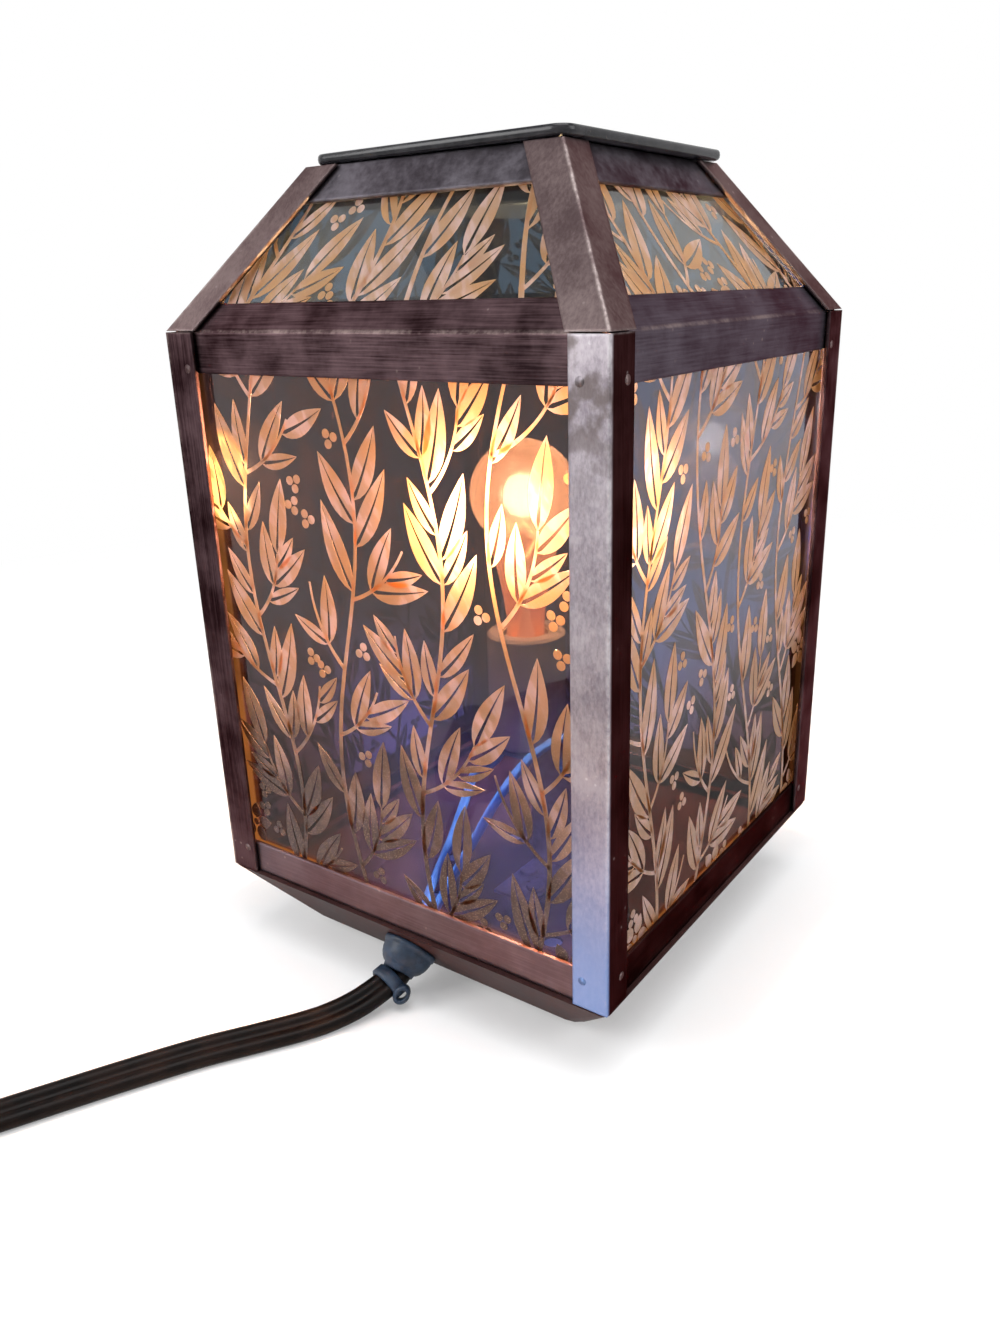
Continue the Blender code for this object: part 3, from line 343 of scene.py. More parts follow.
# %% Lights
def softbox(name, place, size, power):
    """A square area light at a place, facing the lamp's middle."""
    light = bpy.data.lights.new(name, "AREA")
    light.shape, light.size, light.energy = "SQUARE", size, power
    away = Vector(place) - Vector((0, 0, 0.1))
    made = in_scene(name, light)
    made.matrix_world = Matrix.Translation(place) @ away.to_track_quat("Z", "Y").to_matrix().to_4x4()


softbox("softbox_left", (-0.55, -0.75, 0.55), 0.55, 7.0)
softbox("softbox_top", (0.15, -0.1, 1.05), 0.8, 9.0)
softbox("softbox_right", (0.85, 0.25, 0.5), 0.5, 3.0)

world = bpy.data.worlds.new("studio")
bpy.context.scene.world = world
world.use_nodes = True
fill(world.node_tree.nodes["Background"], {"Color": (0.8, 0.82, 0.86, 1), "Strength": 0.45})
bpy.context.scene.view_settings.view_transform = "Standard"
print("lights", [light.name for light in bpy.data.lights])

# %% [markdown]
# ## Wear, grain and painted edge highlights
# Plated steel is never one colour: the brush leaves fine streaks along each strip, the plating is blotchy,
# and its edges and folds are pale, partly from wear and partly as a painted highlight along them. An image
# could carry all this, but a pattern worked out from Object coordinates has no seams and fits every strip.
# One node group holds it, and each metal uses it.

# %% The metal's grain, wear and painted edge highlights as a node group
def grain_wear_and_highlight():
    """Colour blotches, streaks and pits, and edges and folds made lighter by wear and a painted highlight,
    from Object coordinates.
    """
    group = bpy.data.node_groups.new("grain_wear_and_highlight", "ShaderNodeTree")
    for way, kind, names in (("INPUT", "NodeSocketColor", ("Dark", "Light", "Wear And Highlight")),
                             ("INPUT", "NodeSocketFloat", ("Streak X", "Streak Y", "Streak Z", "Edge Wear And Highlight")),
                             ("OUTPUT", "NodeSocketColor", ("Color",)),
                             ("OUTPUT", "NodeSocketFloat", ("Roughness", "Height"))):
        for name in names:
            group.interface.new_socket(name, in_out=way, socket_type=kind)
    given = add(group, "NodeGroupInput").outputs
    where = object_place(group)
    scale = add(group, "CombineXYZ", {i: given[f"Streak {axis}"] for i, axis in enumerate("XYZ")})
    drawn = add(group, "VectorMath", {0: where, 1: scale}, operation="MULTIPLY")
    streak = noise(group, drawn, 1.0, 3.0, 0.65)
    blotch = noise(group, where, 55.0, 5.0, 0.62)
    fine = noise(group, where, 900.0, 2.0, 0.6)
    pits = add(group, "TexVoronoi", {"Vector": where, "Scale": 420.0, "Randomness": 1.0})
    pit = times(group, ramp(group, pits.outputs["Distance"], 0.1, 0.2, 1.0, 0.0),
               ramp(group, blotch, 0.56, 0.66))
    mix = sums(group, "ADD", times(group, streak, 0.35), times(group, blotch, 0.65))
    colour = blend(group, ramp(group, mix, 0.35, 0.66), given["Dark"], given["Light"])
    x, y, z = axes_of(group, where)
    # Painted highlight and wear: the ridges, where |x| = |y|, and the fold at the shoulder turn to the pale
    # colour.
    ridge = sums(group, "SUBTRACT", sums(group, "ABSOLUTE", x), sums(group, "ABSOLUTE", y))
    ridge = ramp(group, sums(group, "ABSOLUTE", ridge), 0.0001, 0.0009, 1.0, 0.0)
    fold = sums(group, "ABSOLUTE", sums(group, "SUBTRACT", z, SHOULDER))
    fold = ramp(group, fold, 0.0001, 0.0006, 0.55, 0.0)
    wear_and_highlight = times(group, sums(group, "MAXIMUM", ridge, fold), given["Edge Wear And Highlight"])
    uneven = sums(group, "ADD", blotch, times(group, fine, 0.4))
    wear_and_highlight = times(group, wear_and_highlight, ramp(group, uneven, 0.55, 0.95))
    wear_and_highlight = sums(group, "MAXIMUM", wear_and_highlight, times(group, pit, 0.45))
    colour = blend(group, wear_and_highlight, colour, given["Wear And Highlight"])
    rough = sums(group, "ADD", 0.3, times(group, mix, 0.28))
    height = sums(group, "ADD", times(group, streak, 0.8), times(group, fine, 0.2))
    add(group, "NodeGroupOutput", {"Color": colour, "Roughness": rough, "Height": height})
    return group


GRAIN_WEAR_AND_HIGHLIGHT = grain_wear_and_highlight()


def grained(tree, dark, light, wear_and_highlight, streaks, edge_wear_and_highlight):
    """The grain's group node with its three colours and its streaks' scale along x, y and z."""
    inputs = {"Dark": (*dark, 1), "Light": (*light, 1), "Wear And Highlight": (*wear_and_highlight, 1), "Edge Wear And Highlight": edge_wear_and_highlight}
    inputs.update((f"Streak {axis}", scale) for axis, scale in zip("XYZ", streaks))
    return add(tree, "Group", inputs, node_tree=GRAIN_WEAR_AND_HIGHLIGHT)


FOLD_RADIUS = 0.0008


def sheet_metal(name, dark, light, wear_and_highlight, streaks, edge_wear_and_highlight=0.8, worn_sheen_face=None, settings=()):
    """Brushed and plated sheet: grain from the group, and folds rounded by a bend radius.

    The optional colours are for the face that looks to -Y, on a strip that has them there alone: plating that
    has lost its bronze, with a painted sheen that makes it silvery, and a painted sky reflection toward its
    foot.
    """
    finish, tree, shader, _ = new_material(name, {"Metallic": 1.0, "Specular Tint": (0.42, 0.3, 0.3, 1)})
    grain = grained(tree, dark, light, wear_and_highlight, streaks, edge_wear_and_highlight)
    colour = grain.outputs["Color"]
    if worn_sheen_face:
        where = object_place(tree)
        y, z = axes_of(tree, where)[1:]
        face = grained(tree, *worn_sheen_face, (1500, 1500, 700), 0.6).outputs["Color"]
        # Painted reflection: toward its foot the face turns sky blue.
        low = times(tree, ramp(tree, z, 0.02, 0.085, 1.0, 0.0), 0.85)
        face = blend(tree, low, face, (0.14, 0.26, 0.54, 1))
        stain = ramp(tree, noise(tree, where, 210.0, 4.0), 0.42, 0.6)
        top = times(tree, ramp(tree, z, 0.126, 0.15), stain)
        face = blend(tree, times(tree, top, 0.8), face, (0.12, 0.095, 0.09, 1))
        colour = blend(tree, ramp(tree, y, -0.0587, -0.0577, 1.0, 0.0), colour, face)
    rounded = add(tree, "Bevel", {"Radius": FOLD_RADIUS}, samples=4)
    bump = add(tree, "Bump", {"Height": grain.outputs["Height"], "Strength": 0.25, "Distance": 0.0002,
                              "Normal": rounded})
    fill(shader, {"Base Color": colour, "Roughness": grain.outputs["Roughness"], "Normal": bump,
                  **dict(settings)})
    return finish

# %% [markdown]
# ## The cage's metals
# The strips are brushed along their length, so a post's streaks run upright and a rail's run level. The
# front right post's face toward -Y is a silvery lavender: plating that has lost its bronze, with a painted
# sheen, and a painted sky reflection toward its foot. The rest of that post is a darker copy of the bronze,
# which is painted shade, and the other strips too are lighter and darker copies as they look lit and
# shaded: painted light and shade. One function makes them all, because they differ only in their colours
# and in the way that the brush went.

# %% Dress the cage
# Apart from the brushing, these copies of the bronze differ strip by strip, lighter and darker as each strip
# looks lit and shaded: painted light and shade.
UPRIGHT, ALONG_X, ALONG_Y = (2200, 2200, 60), (60, 2200, 2200), (2200, 60, 2200)
WEAR_AND_HIGHLIGHT_COLOUR = (0.4, 0.32, 0.29)
BRONZE = (0.012, 0.006, 0.007), (0.098, 0.062, 0.068), WEAR_AND_HIGHLIGHT_COLOUR
dress(sheet_metal("bronze_upright", *BRONZE, UPRIGHT), "post_")
dress(sheet_metal("bronze_along_x", *BRONZE, ALONG_X),
      "shoulder_rail_front", "shoulder_rail_back", "bottom_rail_back")
dress(sheet_metal("bronze_along_y", (0.06, 0.052, 0.064), (0.12, 0.106, 0.128), WEAR_AND_HIGHLIGHT_COLOUR, ALONG_Y),
      "shoulder_rail_left", "shoulder_rail_right")
dress(sheet_metal("bronze_low", (0.014, 0.007, 0.007), (0.044, 0.024, 0.024), WEAR_AND_HIGHLIGHT_COLOUR, ALONG_Y),
      "bottom_rail_right", "bottom_rail_left")
# The front right post: a darker copy of the bronze, which is painted shade, with a silvery -Y face of plating
# that has lost its bronze and carries a painted sheen.
worn_and_sheen = sheet_metal("bronze_worn_sheen", (0.016, 0.008, 0.008), (0.04, 0.021, 0.022), (0.62, 0.58, 0.58), UPRIGHT,
                   worn_sheen_face=((0.22, 0.19, 0.22), (0.44, 0.4, 0.43), (0.75, 0.73, 0.75)))
hip_metal = sheet_metal("bronze_hip", (0.095, 0.066, 0.068), (0.19, 0.145, 0.142), (0.55, 0.48, 0.46),
                        (1500, 1500, 90))
dress(hip_metal, "hip_")
dress(worn_and_sheen, "post_front_right")
dress(sheet_metal("bronze_sill", (0.088, 0.06, 0.07), (0.155, 0.117, 0.132), (0.55, 0.42, 0.36), ALONG_X),
      "bottom_rail_front")
dress(sheet_metal("bronze_top", (0.056, 0.05, 0.058), (0.15, 0.138, 0.158), (0.45, 0.4, 0.4),
                  (500, 500, 500)), "top_rail_")
dress(sheet_metal("dark_bronze_pan", (0.03, 0.013, 0.013), (0.055, 0.026, 0.025), (0.16, 0.1, 0.09),
                  (300, 300, 300), 0.5, settings={"Metallic": 0.0, "Specular IOR Level": 0.04}), "base_pan")
print("cage dressed")

# %% [markdown]
# ## Plain metals and plastics
# The small parts need less: steel, brass, porcelain, rubber and plastic. One flat colour would make them
# look like toys, so each wanders a little between two near colours. Where a solid's edges are too sharp,
# a Bevel node rounds them in the shading alone, and the solid stays as it is.

# %% Plain finishes
def plain(name, low, high, roughness, metallic=0.0, scale=120.0, bump=0.1, distance=0.0001, bend=0.0,
          settings=()):
    """A finish whose colour and gloss wander between two limits with a noise."""
    finish, tree, shader, _ = new_material(name, {"Metallic": metallic})
    where = object_place(tree)
    wander = noise(tree, where, scale, 4.0, 0.6)
    fine = noise(tree, where, scale * 12, 2.0)
    lump = add(tree, "Bump", {"Height": fine, "Strength": bump, "Distance": distance})
    if bend:
        fill(lump, {"Normal": add(tree, "Bevel", {"Radius": bend}, samples=4)})
    fill(shader, {"Base Color": blend(tree, ramp(tree, wander, 0.35, 0.65), (*low, 1), (*high, 1)),
                  "Roughness": ramp(tree, wander, 0.3, 0.7, roughness * 0.85, roughness * 1.2),
                  "Normal": lump, **dict(settings)})
    return finish


brass = plain("brass_dull", (0.5, 0.34, 0.13), (0.72, 0.54, 0.26), 0.3, 1.0, 200)
glaze = plain("black_glaze", (0.009, 0.009, 0.011), (0.02, 0.019, 0.022), 0.2, 0.0, 260, 0.06, 0.0002,
              settings={"Specular IOR Level": 0.24})
# The nylon's blue tint is a painted sky reflection on the black nylon.
nylon = plain("black_nylon", (0.01, 0.019, 0.036), (0.022, 0.041, 0.075), 0.45, 0.0, 260, 0.2, bend=0.0004,
              settings={"Specular IOR Level": 0.3})
plastic = plain("black_plastic", (0.016, 0.016, 0.017), (0.03, 0.03, 0.031), 0.45, 0.0, 500, 0.4,
                bend=0.0005)
dress(plain("zinc_steel", (0.42, 0.42, 0.43), (0.62, 0.62, 0.62), 0.32, 1.0, 300),
      "holder_bracket", "bracket_rivet", "holder_screw")
dress(brass, "holder_sleeve", "holder_contact", "blade_")
dress(plain("porcelain_white", (0.6, 0.57, 0.52), (0.7, 0.67, 0.62), 0.22, 0.0, 90, 0.05, bend=0.0004),
      "holder_cup")
dress(plain("foot_rubber", (0.02, 0.02, 0.02), (0.045, 0.045, 0.045), 0.75, 0.0, 300, 0.3), "foot_")
dress(nylon, "cord_bushing", "coil_tie")
dress(plastic, "switch_base", "switch_cover", "plug_body")
dress(plain("rocker_gloss", (0.02, 0.02, 0.02), (0.034, 0.034, 0.034), 0.25, 0.0, 300, bend=0.0004),
      "switch_rocker")
dress(plain("tungsten_wire", (0.3, 0.28, 0.26), (0.4, 0.38, 0.36), 0.4, 1.0,
            settings={"Emission Color": (1.0, 0.55, 0.2, 1), "Emission Strength": 40.0}), "bulb_filament")

# %% [markdown]
# ## Glass
# The panes are smoky: two of them, one behind the other, leave the far side a dim purple grey. Clear
# glass that bends light also stops lamps from lighting what is behind it, so for shadow rays alone the
# glass lets light straight through, tinted by what one pane takes away. Plain transparency would be
# quicker, but it has no reflections, and they show that a pane is there.

# %% Glass panes
def smoky_glass(name, tint, low_tint, passes, clear=1.0, left_tint=None, low_index=None, painted_edge_glow=0.22):
    """Tinted glass that goes from one tint above to another near the sill; passes is for shadow rays.

    left_tint takes low_tint's place toward -X, low_index is the refractive index near the sill, and
    the last argument is how much the cut edges of a pane glow. The tints stand for what a pane reflects and
    the shade on it, so they are painted reflections and shade; the lower index near the sill dims the
    reflection there as painted shade, and the edges' glow is painted light from the bulb.
    """
    settings = {"Transmission Weight": clear, "Specular IOR Level": 0.2}
    finish, tree, shader, output = new_material(name, settings)
    where = object_place(tree)
    haze = noise(tree, where, 30.0, 4.0)
    x, y, z = axes_of(tree, where)
    low = (*low_tint, 1)
    if left_tint:
        low = blend(tree, ramp(tree, x, -0.03, 0.015), (*left_tint, 1), low)
    # A lower index near the sill dims the pane's reflection there: painted shade.
    if low_index:
        fill(shader, {"IOR": ramp(tree, z, 0.05, 0.125, low_index, 1.5)})
    body = blend(tree, ramp(tree, z, 0.055, 0.105), low, (*tint, 1))
    cloudy = ramp(tree, haze, 0.35, 0.7)
    fill(shader, {"Base Color": blend(tree, cloudy, body, (0.84, 0.84, 0.84, 1), "MULTIPLY"),
                  "Roughness": ramp(tree, haze, 0.4, 0.8, 0.0, 0.03)})
    # Painted light from the bulb: the panes' cut edges glow orange.
    if painted_edge_glow:
        across = sums(tree, "MINIMUM", sums(tree, "ABSOLUTE", x), sums(tree, "ABSOLUTE", y))
        rim = sums(tree, "MAXIMUM", ramp(tree, across, 0.0496, 0.0506),
                   ramp(tree, z, 0.0293, 0.0302, 1.0, 0.0))
        rim = times(tree, rim, ramp(tree, haze, 0.42, 0.66, 0.1, 1.0))
        fill(shader, {"Emission Color": blend(tree, rim, (0, 0, 0, 1), (1.0, 0.36, 0.08, 1)),
                      "Emission Strength": painted_edge_glow})
    pass_shadow_rays(tree, shader, output, passes)
    return finish


# The panes' tints are set one pane at a time, as each looks lit from one side, so they are painted reflections
# and shade: the front pane's blue near the sill is a painted sky reflection that gives way to dark toward -X,
# and the right pane's dark sill is painted shade.
ROOF_TINT = (0.26, 0.32, 0.37)
dress(smoky_glass("smoky_glass_front", (0.11, 0.07, 0.065), (0.17, 0.2, 0.62), (0.6, 0.5, 0.48), 0.94,
                  left_tint=(0.12, 0.06, 0.06), low_index=1.25), "wall_pane_front")
dress(smoky_glass("smoky_glass_side", (0.24, 0.21, 0.26), (0.34, 0.3, 0.44), (0.45, 0.42, 0.46)),
      "wall_pane_back", "wall_pane_left")
dress(smoky_glass("smoky_glass_right", (0.17, 0.21, 0.38), (0.14, 0.08, 0.09), (0.28, 0.26, 0.3),
                  low_index=1.08), "wall_pane_right")
dress(smoky_glass("smoky_glass_roof", ROOF_TINT, ROOF_TINT, (0.24, 0.24, 0.24), painted_edge_glow=0.0),
      "roof_pane_")
print("panes dressed", len([name for name in nodes if "pane" in name]))

# %% [markdown]
# ## The leaf print
# The panes carry a copper-coloured print of sprigs. Here it is a design of laurel sprigs that rise from
# the sill, with blossoms and berries between them. A leaf is two half blades with a clear line between
# them for the midrib. Half a blade is a strip: its inner edge follows the midrib, its outer edge bulges
# by width * sin(pi * t^0.8)^0.9, and both close at the tip. All leaves of a pane are worked out together.
# An image could carry the print, but leaves that are thin pieces of foil stay sharp from close by.

# %% Leaves, stems and blossoms as flat strips
LEAF_STEPS = 11


def blades(base, angle, length, width, curl, gap=0.00036):
    """Half blades for n leaves: an array (n, 2 halves, steps, 2 edges, 2) in the pane's own plane."""
    t = np.linspace(0.0, 1.0, LEAF_STEPS)
    side = np.array([-1.0, 1.0])
    base, angle, length, width, curl = (np.asarray(a, float) for a in (base, angle, length, width, curl))
    run = length[:, None] * t
    sway = curl[:, None] * length[:, None] * t**2
    out = width[:, None] * np.sin(np.pi * t**0.8) ** 0.9
    slit = np.minimum(gap * (1.15 - t) + 0 * run, out)
    across = np.stack([slit, np.maximum(out, slit)], axis=-1)
    offset = sway[:, None, :, None] + side[None, :, None, None] * across[:, None]
    forward = np.broadcast_to(run[:, None, :, None], offset.shape)
    c, s = np.cos(angle)[:, None, None, None], np.sin(angle)[:, None, None, None]
    u = base[:, 0, None, None, None] + forward * c - offset * s
    v = base[:, 1, None, None, None] + forward * s + offset * c
    return np.stack([u, v], axis=-1)


def ribbon(line, width):
    """A strip (1, 1, n, 2, 2) of a width along a line that tapers towards its end."""
    along = unit(np.gradient(line, axis=0))
    across = np.stack([-along[:, 1], along[:, 0]], axis=1)
    half = width / 2 * np.linspace(1.0, 0.55, len(line))[:, None]
    return np.stack([line - across * half, line + across * half], axis=1)[None, None]


def disc(centre, radius, steps=14):
    """A ring (1, 1, steps, 2, 2) from a pinhole out to a radius."""
    ring = directions(np.linspace(0, 2 * np.pi, steps))
    return np.stack([centre + ring * radius * 0.05, centre + ring * radius], axis=1)[None, None]


def strips_to_mesh(strips):
    """Points in the plane and quads for a list of strip arrays."""
    points, faces, start = [], [], 0
    for strip in strips:
        rows = strip.shape[2]
        flat = strip.reshape(-1, rows * 2, 2)
        quads = np.array(grid_faces(rows, 2, round_columns=False))
        many = quads[None] + (start + np.arange(len(flat)) * rows * 2)[:, None, None]
        points.append(flat.reshape(-1, 2))
        faces.append(many.reshape(-1, 4))
        start += flat.shape[0] * rows * 2
    points, faces = np.concatenate(points), np.concatenate(faces)
    a, b, c = (points[faces[:, i]] for i in range(3))
    inward = np.cross(c - a, points[faces[:, 3]] - b) < 0
    faces[inward] = faces[inward, ::-1]
    return points, faces

# %% [markdown]
# Sprigs are laid out in order. Each stem rises in a slow wave, side shoots leave it in turn to the left
# and right, and every shoot carries pairs of leaves and one at its tip. A shoot or a leaf that would run
# into one that is already there is left out, because leaves strewn by chance alone would lie in heaps.
# Blossoms and berries fill the spaces that stay open.

# %% Lay out one pane's sprigs
def headed(start, angles, step):
    """A line from a start that takes one step along each of the angles: the running sum of the steps."""
    return np.concatenate([[start], start + np.cumsum(step * directions(angles), axis=0)])


def sprig_print(half, high, seed, stems, size=1.22):
    """Strips of the print for a pane 2 * half wide and high tall, with v from 0 at the sill.

    It is laid out on a pane that is smaller by size, and then drawn larger by it.
    """
    half, high = half / size, high / size
    chance = np.random.default_rng(seed)
    strips, wood, wanted, shoots, twigs = [], [], [], [], []
    for number, u0 in enumerate((np.arange(stems) + 0.5) / stems * 2 * half - half):
        v = np.linspace(-0.004, high + 0.004, 80)
        u = u0 + 0.005 * np.sin(v / 0.0175 + chance.uniform(0, 6.28)) + 0.002 * np.sin(v / 0.043 + number)
        line = np.stack([u, v], axis=1)
        strips.append(ribbon(line, 0.0011))
        wood.append(line[::2])
        step = np.gradient(line, axis=0)
        shoots.append((line, np.arctan2(step[:, 1], step[:, 0])))

    def clear_of(others, points, reach):
        return np.linalg.norm(others[None] - points[:, None], axis=2).min() > reach

    for number, (line, heading) in enumerate(shoots):
        every = round(0.0125 / (high / 80))
        for turn, at in enumerate(range(2 + number % 2 * every // 2, 76, every)):
            side = 1 if turn % 2 else -1
            spread = np.linspace(math.radians(58), math.radians(18), 16)
            shoot = headed(line[at], heading[at] + side * spread, chance.uniform(0.00095, 0.00125))
            if clear_of(np.concatenate(wood), shoot[5:], 0.003):
                twigs.append(shoot)
                wood.append(shoot[2:])
                ahead = heading[at] + side * spread[-1]
                wanted.append((shoot[-1], ahead, 0.015, 0.0023, 0.05 * side))
                for share, place in enumerate((5, 9, 13)):
                    there = heading[at] + side * spread[place]
                    for other in (-1, 1):
                        wanted.append((shoot[place], there + other * math.radians(chance.uniform(30, 40)),
                                       0.0135 - 0.0009 * share, 0.0021, -0.12 * other))
        for at in range(3, 78, 3):
            for other in (-1, 1):
                wanted.append((line[at], heading[at] + other * math.radians(chance.uniform(26, 42)),
                               chance.uniform(0.014, 0.0178), 0.0024, -0.13 * other))
    wood = np.concatenate(wood)
    taken, kept = np.full((1, 2), 9.0), []
    for shrink in (1.0, 0.72):
        for base, angle, length, width, curl in wanted:
            t = np.linspace(0.34, 1.0, 7)[:, None]
            ahead = directions(angle)
            aside = np.array([-ahead[1], ahead[0]])
            length, width = length * shrink, width * shrink
            body = base + (ahead * t + aside * curl * t**2) * length
            if clear_of(taken, body, width + 0.0013 * shrink) and clear_of(wood, body[2:], width * 0.7):
                kept.append((base, angle, length, width, curl))
                taken = np.concatenate([taken, body])
    roots = np.array([leaf[0] for leaf in kept])
    strips += [ribbon(twig, 0.0008) for twig in twigs if not clear_of(roots, twig[4:], 0.0004)]
    strips.append(blades(*(np.array([leaf[i] for leaf in kept]) for i in range(5))))
    taken = np.concatenate([taken, wood])
    spots = np.stack([chance.uniform(-half, half, 700), chance.uniform(0, high, 700)], axis=1)
    for spot in spots:
        turn = chance.uniform(0, 2 * np.pi)
        if clear_of(taken, spot[None], 0.0052):
            petals = turn + even_angles(5)
            base = spot + 0.0011 * directions(petals)
            strips.append(blades(base, petals, np.full(5, 0.0038), np.full(5, 0.0014), np.zeros(5), 0.0))
            strips.append(disc(spot, 0.0008))
            taken = np.concatenate([taken, spot[None]])
        elif clear_of(taken, spot[None], 0.0033):
            strips += [disc(spot + 0.0011 * aside, 0.00085) for aside in directions(turn + even_angles(3))]
            taken = np.concatenate([taken, spot[None]])
    print(f"sprigs: {len(kept)} leaves, {len(strips)} strips")
    return [strip * size for strip in strips]


# A painted reflection: the foil glows where the bulb's image in the left pane falls on the front print from
# one side, and it stays there from every side.
MIRRORED_BULB = (-0.049, -0.056, 0.127)  # where the bulb's image in the left pane meets the front print


def leaf_foil():
    """Copper foil on glass: pinkish where the room lights it, orange where the bulb shines through, with
    painted light on it: a glow from the bulb, the socket's shadow, the bulb's reflection, glints and streak
    highlights.
    """
    settings = {"Transmission Weight": 0.72, "Roughness": 0.43}
    finish, tree, shader, output = new_material("leaf_foil", settings)
    where = object_place(tree)
    x, y, z = axes_of(tree, where)
    cloud = noise(tree, where, 70.0, 3.0)
    slant = add(tree, "VectorRotate", {"Vector": where, "Rotation": (0.35, 0.55, 0.0)},
                rotation_type="EULER_XYZ")
    drawn = add(tree, "VectorMath", {0: slant, 1: (420.0, 420.0, 60.0)}, operation="MULTIPLY")
    streak = noise(tree, drawn, 1.0, 2.0)
    glint_cells = add(tree, "TexVoronoi", {"Vector": where, "Scale": 2600.0}).outputs["Distance"]
    colour = blend(tree, ramp(tree, cloud, 0.38, 0.62), (0.345, 0.208, 0.088, 1), (0.345, 0.248, 0.19, 1))
    # Painted highlights: pale pinkish streaks across the foil.
    pale = times(tree, ramp(tree, streak, 0.46, 0.58), ramp(tree, cloud, 0.4, 0.58))
    colour = blend(tree, times(tree, pale, 0.8), colour, (0.5, 0.41, 0.44, 1))
    # Painted light from the bulb: above a wavy line low on the panes, and on the right wall, the leaves keep
    # their colour and glow orange, a painted glow; below it they are darkened, the painted shadow of the
    # bulb's socket.
    uneven = sums(tree, "ADD", z, ramp(tree, cloud, 0.3, 0.7, -0.012, 0.012))
    near = sums(tree, "MAXIMUM", ramp(tree, uneven, 0.044, 0.086), ramp(tree, x, 0.0545, 0.055, 0.0, 0.75))
    dim = blend(tree, near, (0.12, 0.08, 0.11, 1), (1, 1, 1, 1))
    colour = blend(tree, 1.0, colour, dim, "MULTIPLY")
    # Painted glints: pale orange specks in the base colour, more of them low down.
    painted_glint = times(tree, ramp(tree, glint_cells, 0.15, 0.3, 1.0, 0.0), ramp(tree, z, 0.04, 0.1, 0.6, 0.15))
    colour = blend(tree, painted_glint, colour, (1.0, 0.66, 0.4, 1))
    glow = blend(tree, near, (0.03, 0.009, 0.004, 1), (1.0, 0.4, 0.12, 1))
    # Painted reflection of the bulb: a streaky spot of bright emission round MIRRORED_BULB.
    away = add(tree, "VectorMath", {0: where, 1: MIRRORED_BULB}, operation="DISTANCE").outputs["Value"]
    painted_bulb_reflection = times(tree, ramp(tree, away, 0.0085, 0.013, 1.0, 0.0), ramp(tree, streak, 0.4, 0.56, 0.45, 1.0))
    fill(shader, {"Base Color": colour, "Emission Color": blend(tree, painted_bulb_reflection, glow, (1.0, 0.64, 0.2, 1)),
                  "Emission Strength": sums(tree, "ADD", times(tree, painted_bulb_reflection, 1.3), 0.04)})
    pass_shadow_rays(tree, shader, output, (0.66, 0.54, 0.4))
    return finish


foil = leaf_foil()

# %% [markdown]
# The flat print is then carried onto its pane. On a wall, across stays across and up stays up. On the
# roof, up runs along the slope. A point beyond the pane's hidden margin is drawn back to it. A Shrinkwrap
# modifier could press the print on, but the panes are flat, so two short formulas do it exactly.

# %% Put the prints on the panes
FOIL = 0.00006
SPECK_AREA = 1e-9
WALL_SILL, WALL_HIGH_EDGE, WALL_PRINT_HALF = 0.0262, 0.154, 0.0535
ROOF_PRINT_LOW, ROOF_PRINT_HIGH, HIP_MARGIN = 0.0045, 0.0395, 0.005
WALL_LAYOUT_HALF, ROOF_LAYOUT_HALF, ROOF_LAYOUT_HIGH = 0.051, 0.048, 0.035
WALL_SEED, ROOF_SEED, STEMS = 11, 31, 4


def on_wall(points):
    """Plane points to the front wall's outer glass face: (u, -(half - depth), sill + v)."""
    u = np.clip(points[:, 0], -WALL_PRINT_HALF, WALL_PRINT_HALF)
    z = np.clip(WALL_SILL + points[:, 1], WALL_SILL, WALL_HIGH_EDGE)
    return np.stack([u, np.full(len(u), -(BODY_HALF - PANE_DEPTH) - FOIL / 2), z], axis=1)


def on_roof(points):
    """Plane points to the front roof pane's outer face, whose up direction runs along the slope."""
    along = np.clip(ROOF_PRINT_LOW + points[:, 1], ROOF_PRINT_LOW, ROOF_PRINT_HIGH)
    lift = PANE_DEPTH - FOIL / 2
    out = BODY_HALF - along * math.cos(ROOF_SLOPE) - lift * math.sin(ROOF_SLOPE)
    z = SHOULDER + along * math.sin(ROOF_SLOPE) - lift * math.cos(ROOF_SLOPE)
    limit = out - HIP_MARGIN
    return np.stack([np.clip(points[:, 0], -limit, limit), -out, z], axis=1)


def turned_side(points, number):
    """Points of the front side carried to side number 0 to 3, a quarter turn each."""
    return turned(points, *[(1, 0), (0, 1), (-1, 0), (0, -1)][number])


def print_piece(name, strips, lay, number):
    """The print of one pane as a piece: strips laid on the front side, and turned to their own side."""
    flat, quads = strips_to_mesh(strips)
    points = turned_side(lay(flat), number)
    a, b, c, d = (points[quads[:, i]] for i in range(4))
    quads = quads[np.linalg.norm(np.cross(c - a, d - b), axis=1) / 2 > SPECK_AREA]
    used, quads = np.unique(quads, return_inverse=True)
    piece = put(name, points[used], quads.reshape(-1, 4).tolist(), foil, smooth=False)
    wall = piece.modifiers.new("foil", "SOLIDIFY")
    wall.thickness, wall.offset = FOIL, 1.0


for number, side in enumerate(SIDES):
    on_the_wall = sprig_print(WALL_LAYOUT_HALF, WALL_HIGH_EDGE - WALL_SILL, WALL_SEED + number, STEMS)
    print_piece(f"leaf_print_wall_{side}", on_the_wall, on_wall, number)
    on_the_roof = sprig_print(ROOF_LAYOUT_HALF, ROOF_LAYOUT_HIGH, ROOF_SEED + number, STEMS)
    print_piece(f"leaf_print_roof_{side}", on_the_roof, on_roof, number)

# %% [markdown]
# ## The dish
# The dish is glazed stoneware: a square plate with soft edges and a round-cornered well in the middle.
# Its surface is a stack of rounded squares, from the well's underside out to the rim and back in. A box
# with a Bevel modifier has round edges too, but rings can give each edge a radius of its own.

